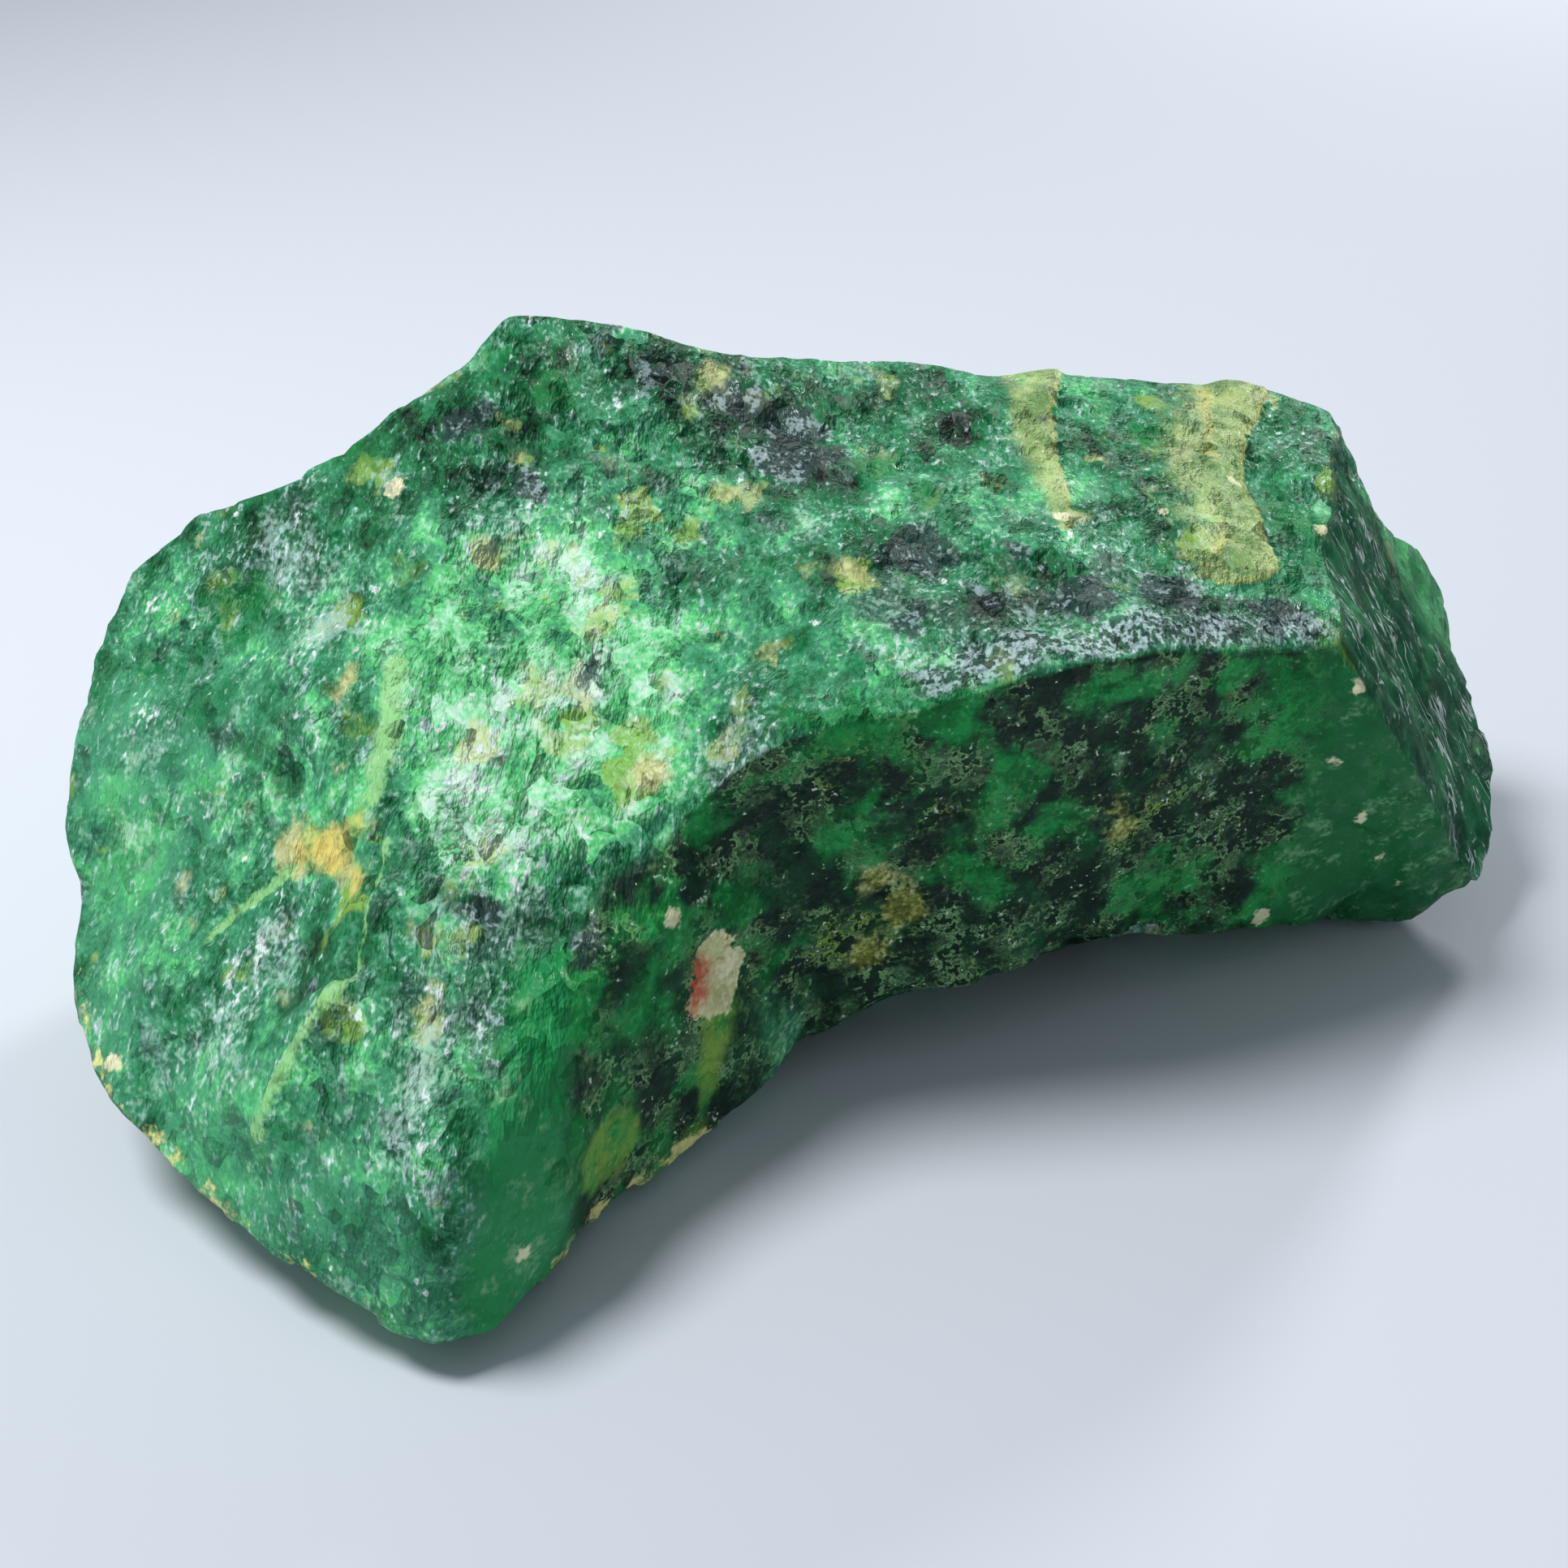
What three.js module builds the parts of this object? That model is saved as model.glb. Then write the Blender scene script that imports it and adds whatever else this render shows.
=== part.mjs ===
// A raw emerald: one broken block of massive green stone, lying on its widest fracture face.
// Millimetres. X runs along its length, Y from the dark front face to the back, Z up from the ground.
// The origin is on the ground, in the middle of the stone's outline.
//
// The stone is a cage of named corners joined by named facets, one facet for each fracture face.
// The cage is cut into small even triangles, its ridges are worn round except the crisp ones,
// and then lumps, ripples and scoops are pressed into its faces.

import * as THREE from "three";
import { ImprovedNoise } from "three/addons/math/ImprovedNoise.js";

// ---------------------------------------------------------------- driving sizes

const LENGTH = 165; // end to end, the cage's own size: a larger stone is this one scaled
const CAGE_LENGTH = 165;
const LONGEST_SIDE = 4.9; // of any triangle, once the cage is cut up
const EVENING_ROUNDS = 5; // passes that make the triangles alike
const WEAR_ROUNDS = 4; // passes of rounding over the worn ridges
const CRISP_SHARE = 0.12; // how much of that rounding a crisp ridge takes
const BASE_CLEARANCE = 5; // height over which lumps fade out above the flat base
const LEAST_CLEARANCE = 0.3; // of anything beside the flat base above the ground

// ---------------------------------------------------------------- corners of the cage

const corners = {
  // back edge of the top, from the peak on the left to the corner above the right end
  rim: [
    [-35.5, 31, 71], [-24, 35, 68.5], [-11, 38, 65], [3, 42.5, 62.5], [17, 45, 60],
    [29, 48, 59.5], [48, 49.5, 56.5], [58.5, 48, 56.5], [63.5, 44, 55],
  ],
  // left edge of the long slope, from beside the peak down and round to the low tip
  left: [
    [-41, 28, 66], [-46, 23.5, 63], [-54, 20.5, 58.5], [-62.5, 19.5, 55], [-73, 21, 50.5],
    [-79, 17, 45], [-81, 10, 39], [-80.5, 3, 34.5], [-83, -5.5, 30], [-80.5, -14.5, 22],
    [-77.5, -28, 16], [-72, -38, 11.5], [-64, -46, 8.5], [-54, -54, 6.5], [-45, -62.5, 5],
  ],
  // lower edge of the front, from the low tip under the arch to the right foot
  foot: [
    [-36, -66.5, 4], [-29.5, -63.5, 3], [-25, -54, 3], [-23.5, -48, 3], [-14, -37, 3],
    [-7, -27, 4.5], [0, -19.5, 7], [8, -17.5, 11.5], [16.5, -16, 11.5], [32, -9, 11.5],
    [50, 1, 7], [62.5, 9.5, 3], [72, 11.5, 1], [75, 12, 3.5], [80, 11, 6],
  ],
  // right outline, from the right foot up and round the knob to below the back corner
  right: [
    [82, 17.5, 11.5], [82.5, 23.5, 17], [81.5, 32, 23], [80.5, 41, 26], [81, 46.5, 30],
    [77, 46.5, 36], [70.5, 41, 41.5], [68.5, 44, 44.5],
  ],
  // crisp front edge of the top, from the right end to where it dies out in the slope
  edge: [
    [54.5, -5.5, 46.5], [45.5, -10, 47.5], [34.5, -15.5, 50], [24.5, -20, 50], [14.5, -23, 49],
    [6.5, -24.5, 47], [-1.5, -26, 46], [-6, -28, 44], [-10, -29.5, 41],
  ],
  // soft shoulder that carries on from it, down to the low tip
  brow: [[-17, -31.5, 35], [-22, -35, 33.5], [-24, -40.5, 31], [-24, -49, 25], [-24.5, -56, 17.5]],
  // crest that parts the long slope in two, down to its low rib
  crest: [[-44.5, -5.5, 50.5], [-44.5, -20, 43], [-43, -30, 38.5], [-44.5, -44.5, 30], [-50.5, -55, 19.5]],
  // between crest and shoulder: where the slope steepens, and the top of the nose over the low tip
  hip: [[-35, -39, 34], [-35, -65, 19.5]],
  // soft fold where the slope turns into the flat top
  shelf: [[-11.5, 15, 56], [-12, -8.5, 47]],
  // front outline of the striated right end, between top edge and right foot
  end: [[57.5, 16, 51.5], [58, -7, 40.5], [68, -1, 24]],
  // where the knob stands out of the right end
  knob: [[71, 29.5, 38], [75.5, 32, 32]],
  // bends within the front: near the right end, and below the left end of the crisp edge
  front: [[57, -2, 27], [-12.5, -34.5, 30]],
  // widest line of the hidden back, halfway down
  back: [[-26, 57, 40], [13, 63, 32], [48, 64, 28], [70, 54, 19], [-62, 37, 29], [-78, 17, 19]],
  // the flat face it lies on, clockwise from below the low tip
  base: [
    [-33, -56, 0], [-56, -35, 0], [-62, -6, 0], [-48, 26, 0], [-4, 38, 0], [47, 46, 0],
    [68.5, 27, 0], [68, 15, 0], [38, 14, 0], [4, -1.5, 0], [-15, -27, 0],
  ],
};

// Names of the corners first to last of one line, in either direction.
function run(line, first, last) {
  const step = Math.sign(last - first);
  const count = Math.abs(last - first) + 1;
  return Array.from({ length: count }, (_, i) => `${line}${first + i * step}`);
}

// ---------------------------------------------------------------- facets of the cage

// Each facet's corners run anticlockwise, seen from outside the stone.
const facets = {
  upperSlope: ["rim1", ...run("left", 1, 9), "crest1"],
  leftSlope: [...run("left", 9, 14), ...run("crest", 5, 1)],
  middleSlope: [
    "rim1", ...run("crest", 1, 3), "hip1", "brow2", "brow1", "edge9", "shelf2", "shelf1", "rim3", "rim2",
  ],
  lowerSlope: ["crest3", "crest4", "hip2", ...run("brow", 5, 2), "hip1"],
  tipLeft: ["crest4", "crest5", "left14", "left15", "foot1", "hip2"],
  tipRight: ["hip2", ...run("foot", 1, 3), "brow5"],
  top: ["rim3", "shelf1", "shelf2", ...run("edge", 9, 1), "end1", ...run("rim", 9, 4)],
  frontShoulder: ["edge9", ...run("brow", 1, 3), "front2"],
  frontLeft: ["edge9", "front2", ...run("brow", 3, 5), ...run("foot", 3, 7)],
  frontRight: [...run("edge", 2, 9), ...run("foot", 7, 12), "front1"],
  frontCorner: ["edge1", "edge2", "front1", ...run("foot", 12, 15), "end3", "end2"],
  rightEnd: [
    "rim9", "end1", "edge1", "end2", "end3", "foot15", ...run("right", 1, 4), "knob2", "knob1",
    "right7", "right8",
  ],
  knobFace: ["right7", "knob1", "knob2", ...run("right", 4, 6)],
  backUpperLeft: ["rim1", "back1", "back5", ...run("left", 6, 1)],
  backUpperMiddle: [...run("rim", 1, 4), "back2", "back1"],
  backUpperRight: [...run("rim", 4, 7), "back3", "back2"],
  backBesideKnob: [...run("rim", 7, 9), ...run("right", 8, 6), "back3"],
  knobBack: ["right6", "right5", "back4", "back3"],
  backFarLeft: ["left6", "back5", "back6", ...run("left", 9, 7)],
  underLeftBack: ["left9", "back6", "base4", "base3"],
  underLeft: ["left9", "base3", "base2", ...run("left", 12, 10)],
  underTipLeft: ["left12", "base2", "base1", ...run("left", 15, 13)],
  underTip: ["foot1", "left15", "base1", "foot2"],
  underTipRight: ["foot2", "base1", "base11", ...run("foot", 6, 3)],
  archLeft: ["foot6", "base11", "base10", ...run("foot", 9, 7)],
  archMiddle: ["foot9", "base10", "base9", "foot11", "foot10"],
  archRight: ["foot11", "base9", "base8", "foot13", "foot12"],
  underRightEnd: ["foot15", "foot14", "foot13", "base8", "base7", "right2", "right1"],
  underKnob: ["right2", "base7", "back4", ...run("right", 5, 3)],
  backLowerCorner: ["back6", "back5", "base4"],
  backLowerLeft: ["back5", "back1", "base5", "base4"],
  backLowerMiddle: ["back1", "back2", "base5"],
  backLowerRight: ["back2", "back3", "base6", "base5"],
  backLowerEnd: ["back3", "back4", "base7", "base6"],
  base: run("base", 1, 11),
};

// Ridges that broke cleanly and kept their edge; all the others are worn round.
const crispRidges = [
  run("edge", 1, 9),
  [...run("rim", 1, 9), "end1", "edge1", "end2", "end3", "foot15"],
  ["rim1", ...run("left", 1, 15), ...run("foot", 1, 15), ...run("right", 1, 8), "rim9"],
  ["brow3", "brow4"],
  [...run("base", 1, 11), "base1"],
];

// Scars where a flake came off: the middle of each, the way it faces, its radius and depth.
const scoops = [
  { at: [-53, -33, 30], facing: [-0.35, -0.55, 0.75], radius: 12, depth: 1.8 },
  { at: [-6, -27, 36], facing: [0.6, -0.8, 0.1], radius: 10, depth: 2.2 },
  { at: [-60, 8, 47], facing: [-0.4, -0.3, 0.85], radius: 17, depth: 1.5 },
  { at: [-4, 58, 46], facing: [0, 0.9, 0.4], radius: 24, depth: 4 },
  { at: [40, 60, 40], facing: [0.1, 0.9, 0.4], radius: 18, depth: 3 },
  { at: [-52, 42, 42], facing: [-0.6, 0.7, 0.4], radius: 16, depth: 3 },
  { at: [20, 50, 14], facing: [0, 0.8, -0.6], radius: 20, depth: 3 },
];

// ---------------------------------------------------------------- cutting the cage into triangles

const sideKey = (a, b) => (a < b ? `${a},${b}` : `${b},${a}`);

// Triangles over one loop of points, worked out flat on the plane that fits the loop best.
function triangulate(points, loop) {
  const around = loop.map((corner) => points[corner]);
  const facing = new THREE.Vector3();
  around.forEach((p, i) => facing.add(p.clone().cross(around[(i + 1) % around.length])));
  facing.normalize();
  const across = around[1].clone().sub(around[0]).projectOnPlane(facing).normalize();
  const up = facing.clone().cross(across);
  const flat = around.map((p) => new THREE.Vector2(p.dot(across), p.dot(up)));
  return THREE.ShapeUtils.triangulateShape(flat, []).map(([a, b, c]) => {
    const turn = flat[b].clone().sub(flat[a]).cross(flat[c].clone().sub(flat[a]));
    return turn > 0 ? [loop[a], loop[b], loop[c]] : [loop[a], loop[c], loop[b]];
  });
}

// The cage as points and triangles; a triangle is three point numbers and its facet's name.
function buildCage() {
  const names = [];
  const points = [];
  for (const [line, places] of Object.entries(corners))
    places.forEach((place, i) => {
      names.push(`${line}${i + 1}`);
      points.push(new THREE.Vector3(...place));
    });
  const numbers = (loop) => loop.map((name) => names.indexOf(name));
  const triangles = Object.entries(facets).flatMap(([facet, loop]) =>
    triangulate(points, numbers(loop)).map((triangle) => [...triangle, facet]),
  );
  const crisp = crispRidges.map(numbers);
  return { points, triangles, crisp, cornerCount: points.length };
}

// Every side longer than the limit is cut at its middle, in both of the triangles that share it.
function splitLongSides(stone, limit) {
  const { points } = stone;
  const middles = new Map();
  const middle = (a, b) => {
    const key = sideKey(a, b);
    if (!middles.has(key)) {
      middles.set(key, points.length);
      points.push(points[a].clone().lerp(points[b], 0.5));
    }
    return middles.get(key);
  };
  const isLong = (a, b) => points[a].distanceTo(points[b]) > limit;
  stone.triangles = stone.triangles.flatMap(([a, b, c, facet]) => {
    const longSides = [isLong(a, b), isLong(b, c), isLong(c, a)];
    const count = longSides.filter(Boolean).length;
    if (count === 0) return [[a, b, c, facet]];
    // Turned so that side ab is long and, where two sides are, bc is the other.
    while (!longSides[0] || (count === 2 && longSides[2])) {
      [a, b, c] = [b, c, a];
      longSides.push(longSides.shift());
    }
    const ab = middle(a, b);
    if (count === 1) return [[a, ab, c, facet], [ab, b, c, facet]];
    const bc = middle(b, c);
    if (count === 2) return [[ab, b, bc, facet], [a, ab, bc, facet], [a, bc, c, facet]];
    const ca = middle(c, a);
    return [[a, ab, ca, facet], [ab, b, bc, facet], [bc, c, ca, facet], [ab, bc, ca, facet]];
  });
  stone.crisp = stone.crisp.map((ridge) =>
    ridge.flatMap((corner, i) => {
      const key = i > 0 && sideKey(ridge[i - 1], corner);
      return middles.has(key) ? [middles.get(key), corner] : [corner];
    }),
  );
  return middles.size > 0;
}

// The triangles on either side of each side, by the side's key.
function sidesOf(triangles) {
  const sides = new Map();
  triangles.forEach(([a, b, c], index) => {
    for (const [from, to, opposite] of [[a, b, c], [b, c, a], [c, a, b]]) {
      const key = sideKey(from, to);
      if (!sides.has(key)) sides.set(key, []);
      sides.get(key).push({ from, to, opposite, index });
    }
  });
  return sides;
}

// Turns the shared side of two thin triangles of one facet, which makes both of them fuller.
function turnThinPairs(stone) {
  const { points, triangles } = stone;
  const sides = sidesOf(triangles);
  const touched = new Set();
  const angleAt = (tip, a, b) =>
    points[a].clone().sub(points[tip]).angleTo(points[b].clone().sub(points[tip]));
  const normal = (a, b, c) =>
    points[b].clone().sub(points[a]).cross(points[c].clone().sub(points[a]));
  let turned = 0;
  for (const [one, other] of sides.values()) {
    const facet = triangles[one.index][3];
    if (triangles[other.index][3] !== facet) continue;
    if (touched.has(one.index) || touched.has(other.index)) continue;
    const { from, to, opposite: near } = one;
    const far = other.opposite;
    if (angleAt(near, from, to) + angleAt(far, from, to) < Math.PI + 0.01) continue;
    if (sides.has(sideKey(near, far))) continue;
    const facing = normal(from, to, near).add(normal(to, from, far));
    const folded = [normal(near, from, far), normal(far, to, near)].some((n) => n.dot(facing) <= 0);
    if (folded) continue;
    triangles[one.index] = [near, from, far, facet];
    triangles[other.index] = [far, to, near, facet];
    touched.add(one.index).add(other.index);
    turned += 1;
  }
  return turned;
}

// The points next to each point, and of those the ones along a ridge between two facets.
function neighboursOf(stone) {
  const around = stone.points.map(() => new Set());
  const along = stone.points.map(() => new Set());
  for (const [one, other] of sidesOf(stone.triangles).values()) {
    around[one.from].add(one.to);
    around[one.to].add(one.from);
    if (stone.triangles[one.index][3] === stone.triangles[other.index][3]) continue;
    along[one.from].add(one.to);
    along[one.to].add(one.from);
  }
  return { around, along };
}

const middleOf = (points, numbers) =>
  [...numbers].reduce((sum, i) => sum.add(points[i]), new THREE.Vector3()).divideScalar(numbers.size);

// Evens out the triangles: points in a facet move towards the middle of their neighbours,
// points on a ridge only along it, and the cage's own corners stay.
function evenOut(stone, rounds) {
  const { around, along } = neighboursOf(stone);
  for (let round = 0; round < rounds; round += 1)
    stone.points = stone.points.map((point, i) => {
      if (i < stone.cornerCount) return point;
      const near = along[i].size === 0 ? around[i] : along[i];
      return point.clone().lerp(middleOf(stone.points, near), 0.5);
    });
}

function cutUp(stone) {
  for (let limit = 16 * LONGEST_SIDE; limit >= LONGEST_SIDE; limit /= 2)
    for (let cut = true; cut; ) {
      cut = splitLongSides(stone, limit);
      while (turnThinPairs(stone) > 0);
    }
  for (let round = 0; round < EVENING_ROUNDS; round += 1) {
    evenOut(stone, 2);
    while (turnThinPairs(stone) > 0);
  }
}

// ---------------------------------------------------------------- wear and surface

// Rounds the ridges: each point moves towards its neighbours, on a crisp ridge only a little.
function wearDown(stone) {
  const { around } = neighboursOf(stone);
  const crisp = new Set(stone.crisp.flat());
  for (let round = 0; round < WEAR_ROUNDS; round += 1)
    stone.points = stone.points.map((point, i) =>
      point.clone().lerp(middleOf(stone.points, around[i]), crisp.has(i) ? 0.5 * CRISP_SHARE : 0.5),
    );
}

// Swells of the faces: how far apart and how high they are, and where each reads the noise.
const swells = [
  { apart: 27, height: 1.2, seed: 3 },
  { apart: 13, height: 0.8, seed: 7 },
  { apart: 7.5, height: 0.5, seed: 11 },
];
const CREASE = { apart: 17, height: 1.6, seed: 17 };
const WOBBLE = { apart: 11, height: 0.8, seeds: [23, 31, 43] };

const noise = new ImprovedNoise();

// Smooth noise from -1 to 1 that repeats its lumps about every wavelength millimetres.
function lumps(p, wavelength, seed) {
  return noise.noise(p.x / wavelength + seed, p.y / wavelength + 0.37, p.z / wavelength + 0.71);
}

// Presses every scoop into the faces that look the same way.
function pressScoops(stone, normals) {
  for (const { at, facing, radius, depth } of scoops) {
    const middle = new THREE.Vector3(...at);
    const outward = new THREE.Vector3(...facing).normalize();
    stone.points.forEach((point, i) => {
      const away = point.clone().sub(middle).projectOnPlane(outward).length() / radius;
      const facesScoop = normals[i].dot(outward) > 0.35 && point.distanceTo(middle) < 2 * radius;
      if (away < 1 && facesScoop) point.addScaledVector(outward, -depth * (1 - away * away));
    });
  }
}

function normalsOf(stone) {
  const normals = stone.points.map(() => new THREE.Vector3());
  for (const [a, b, c] of stone.triangles) {
    const [p, q, r] = [a, b, c].map((i) => stone.points[i]);
    const facing = q.clone().sub(p).cross(r.clone().sub(p));
    for (const i of [a, b, c]) normals[i].add(facing);
  }
  return normals.map((n) => n.normalize());
}

// Lumps and hollows of a broken surface, and a wobble sideways that keeps ridges from being straight.
function roughen(stone) {
  const normals = normalsOf(stone);
  pressScoops(stone, normals);
  stone.points.forEach((point, i) => {
    const fade = THREE.MathUtils.smoothstep(point.z, 0, BASE_CLEARANCE);
    const [x, y, z] = WOBBLE.seeds.map((seed) => WOBBLE.height * lumps(point, WOBBLE.apart, seed));
    let rise = CREASE.height * (Math.abs(lumps(point, CREASE.apart, CREASE.seed)) - 0.25);
    for (const { apart, height, seed } of swells) rise += height * lumps(point, apart, seed);
    point.addScaledVector(normals[i], rise * fade).add(new THREE.Vector3(x, y, z * fade));
  });
}

// Brings the base back to one flat face, with everything else above it.
function flattenBase(stone) {
  const baseTriangles = stone.triangles.filter(([, , , facet]) => facet === "base");
  const onBase = new Set(baseTriangles.flatMap(([a, b, c]) => [a, b, c]));
  stone.points.forEach((point, i) => {
    point.z = onBase.has(i) ? 0 : Math.max(point.z, LEAST_CLEARANCE);
  });
}

// ---------------------------------------------------------------- the stone

function buildStone() {
  const stone = buildCage();
  cutUp(stone);
  wearDown(stone);
  roughen(stone);
  flattenBase(stone);

  const geometry = new THREE.BufferGeometry().setFromPoints(stone.points);
  geometry.setIndex(stone.triangles.flatMap(([a, b, c]) => [a, b, c]));
  const size = LENGTH / CAGE_LENGTH;
  geometry.scale(size, size, size);
  geometry.computeBoundingBox();
  const { min, max } = geometry.boundingBox;
  geometry.translate(-(min.x + max.x) / 2, -(min.y + max.y) / 2, -min.z);
  geometry.computeVertexNormals();

  const green = new THREE.MeshStandardMaterial({ color: 0x1f6b3c, roughness: 0.55, metalness: 0 });
  const mesh = new THREE.Mesh(geometry, green);
  mesh.name = "green_stone";
  return mesh;
}

const group = new THREE.Group();
group.name = "raw_emerald";
group.add(buildStone());

export default group;
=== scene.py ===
import math

import bmesh
import bpy
from bpy.props import FloatProperty, FloatVectorProperty, IntProperty, PointerProperty
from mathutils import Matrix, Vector, noise


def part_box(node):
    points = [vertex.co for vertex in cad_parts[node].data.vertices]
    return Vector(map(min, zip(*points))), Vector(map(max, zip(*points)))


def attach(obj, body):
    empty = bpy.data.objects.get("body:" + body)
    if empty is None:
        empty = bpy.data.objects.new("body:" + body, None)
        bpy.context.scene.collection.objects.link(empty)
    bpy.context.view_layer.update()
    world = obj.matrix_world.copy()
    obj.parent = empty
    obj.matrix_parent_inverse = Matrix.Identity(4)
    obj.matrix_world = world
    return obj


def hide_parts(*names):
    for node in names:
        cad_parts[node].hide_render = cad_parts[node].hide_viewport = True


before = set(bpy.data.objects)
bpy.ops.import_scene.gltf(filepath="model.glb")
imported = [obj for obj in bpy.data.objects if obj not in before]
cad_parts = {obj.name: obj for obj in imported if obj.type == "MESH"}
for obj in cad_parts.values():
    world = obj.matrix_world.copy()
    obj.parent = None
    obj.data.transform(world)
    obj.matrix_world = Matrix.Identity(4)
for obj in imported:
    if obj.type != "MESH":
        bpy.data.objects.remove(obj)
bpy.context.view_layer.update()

bl_info = {
    "name": "Raw emerald",
    "blender": (4, 5, 0),
    "version": (1, 0, 0),
    "location": "View3D > Sidebar > Emerald",
    "description": "Gives the packed green stone its broken surface, its colours and a plain stage",
    "category": "Object",
}

STONE_NODE = "green_stone"
MM = 0.001  # metres in a millimetre: places on the stone are written in millimetres
GRAIN_DRAW = 0.62  # places are shortened this much from front to back, which draws the grain out

# The relief, in millimetres where it is a length.
WELD = 0.001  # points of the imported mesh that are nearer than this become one
CUTS = 3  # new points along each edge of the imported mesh
UNDERSIDE = 0.2  # what is lower than this belongs to the underside, which stays flat
# How strongly each of the stone's faces is flaked.
FLAKING = {"slope": 0.9, "top": 1.0, "front": 0.5, "nose": 0.3, "end": 0.5, "hidden": 1.0}
BAND_RISE = 0.5  # each yellow band stands this much over what lies right of it
RIB_RISE = 0.9  # and the rib this much over the slope
CREASE_REACH = 14  # no broken line goes further than this from its second place
BIG_FLAKE = 13  # width of the largest flakes, which only the hidden faces have
BIG_FLAKE_HEIGHT = 1.4

SEED = 1  # the noises that warp places start from it, so that each run gives the same stone

# The rock's noises, in millimetres.
CLUMP = 4.5  # round clumps
CLOUD = 5  # soft clouds
CLOUD_STARTS = ((9, 4, 1), (2, 17, 8), (5, 3, 29))  # where each of the three clouds starts in the noise
FINE = 0.6  # finest grain
GRAIN = 3.0  # coarse grain
CHIP = 2.0  # chips
STREAK = (0.8, 2.2)  # streaks down the slopes, across and along
END_STREAK = (2.2, 14.0)  # streaks down the right end, across and along

# ------------------------------------------------------------------ places on the stone (mm)

# Places are distances right, back and up from the point of the floor under the stone's middle.
# There are four kinds of table:
# - a spread has rows of a place, how far the change reaches, and how much it changes at the place;
# - a list of patches has rows of a patch's middle and its radius;
# - a list of lines has rows of a path and half the line's width;
# - a path is the places that a line runs through.

# The yellow bands on the flat top: right borders, as distances back and right, and widths.
BANDS = (
    {
        "border": ((8, 27), (21, 27), (30, 27), (38, 27.5), (49, 29.5)),
        "front_width": 3,
        "back_width": 9,
    },
    {
        "border": ((4, 46.5), (7, 49), (19, 49), (26, 48.5), (32, 49.5), (39, 51), (45, 54), (49, 55)),
        "front_width": 12,
        "back_width": 17,
    },
)
# Spread: lighter rock above zero, darker rock below.
LIGHTNESS = (
    # slope
    ((-30, -13, 45), 22, 1.1), ((-42, -8, 48), 12, 0.7), ((-27, 3, 53), 12, 0.8), ((-36, -26, 38), 9, 0.9),
    ((-30, 28, 66), 15, -0.6), ((-40, 16, 59), 13, -0.9), ((-30, -38, 31), 10, -0.5),
    ((-50, -38, 28), 7, -0.4), ((-56, -8, 41), 9, -0.3), ((-66, 18, 50), 12, -0.7),
    ((-38, -51, 24), 13, 0.3), ((-78, 8, 38), 9, -0.5), ((-72, -13, 28), 18, 0.3),
    ((-62, -42, 12), 18, 0.3), ((-50, 18, 58), 14, -0.5), ((-24, -20, 41), 13, 0.6),
    ((-28, -29, 37), 9, 0.6), ((-40, -24, 40), 9, 0.4),
    # top
    ((-20, -22, 41), 13, 0.5), ((-12, 32, 62), 15, -1.1), ((-3, 22, 57), 14, -0.85),
    ((16, 32, 57), 17, -0.75), ((18, -4, 52), 12, -0.8), ((38, 0, 50), 13, -0.7), ((57, 36, 54), 12, -0.9),
    ((3, 3, 53), 9, -0.8), ((36, 32, 56), 11, -0.7), ((54, 14, 50), 9, -0.5), ((4, -14, 49), 10, 0.3),
    ((14, 17, 56), 7, 0.4), ((-5, 40, 62), 8, -0.6), ((8, 42, 60), 9, -0.6), ((-13, 15, 56), 6, 0.5),
    ((31, 14, 54), 7, -0.5), ((-18, -12, 46), 11, 0.4), ((-10, -6, 50), 10, 0.4), ((-16, 10, 54), 9, 0.4),
    ((36, 24, 55), 9, -0.5), ((42, 8, 52), 7, -0.4),
    # front
    ((-22, -44, 20), 8, 0.2), ((-8, -28, 18), 13, 0.6), ((-15, -32, 25), 13, 0.9),
    ((-20, -41, 18), 12, 0.9), ((0, -22, 30), 10, 0.5),
    # right end
    ((74, 43, 33), 12, 0.4),
)
# Spread: painted white sheen and glints.
PAINTED_SHEEN = (
    # slope
    ((-60, 13, 49), 12, 0.9), ((-53, -1, 46), 10, 0.9), ((-33, 8, 56), 12, 0.7), ((-37, -17, 43), 14, 0.7),
    ((-31, -32, 34), 10, 0.8), ((-55, -32, 25), 8, 1.0), ((-60, -37, 18), 9, 1.0),
    ((-35, -45, 27), 10, 0.7), ((-39, -54, 22), 9, 0.5), ((-30, 30, 66), 10, 0.4),
    ((-68, -22, 22), 10, 0.4), ((-33, -60, 17), 7, 0.4), ((-36, -57, 22), 8, 0.6),
    # top
    ((-10, -24, 42), 13, 0.9), ((11, -12, 51), 9, 0.7), ((23, -9, 51), 9, 0.6), ((35, -8, 50), 8, 0.6),
    ((48, -3, 48), 7, 0.5), ((3, 10, 55), 9, 0.5), ((28, 8, 54), 9, 0.5),
)
# Spread: grey clumps.
GREYED = (
    # slope
    ((-60, 13, 49), 12, 0.7), ((-52, -2, 46), 10, 0.7), ((-35, -46, 27), 11, 0.8),
    ((-40, -54, 22), 10, 0.5), ((-54, -31, 28), 7, 1.0), ((-30, -37, 32), 8, 1.0), ((-48, -42, 26), 8, 0.8),
    ((-41, -30, 36), 6, 0.8), ((-34, 14, 57), 8, 0.6),
    # top
    ((-20, 32, 64), 9, 0.6), ((-2, 24, 57), 10, 0.9), ((9, -3, 52), 10, 0.9), ((28, -4, 51), 13, 0.8),
    ((46, 0, 49), 9, 0.6), ((-8, 10, 54), 10, 0.5), ((57, 36, 55), 9, 0.7), ((-6, -22, 43), 9, 0.6),
    ((8, 38, 60), 10, 0.6),
)
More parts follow.
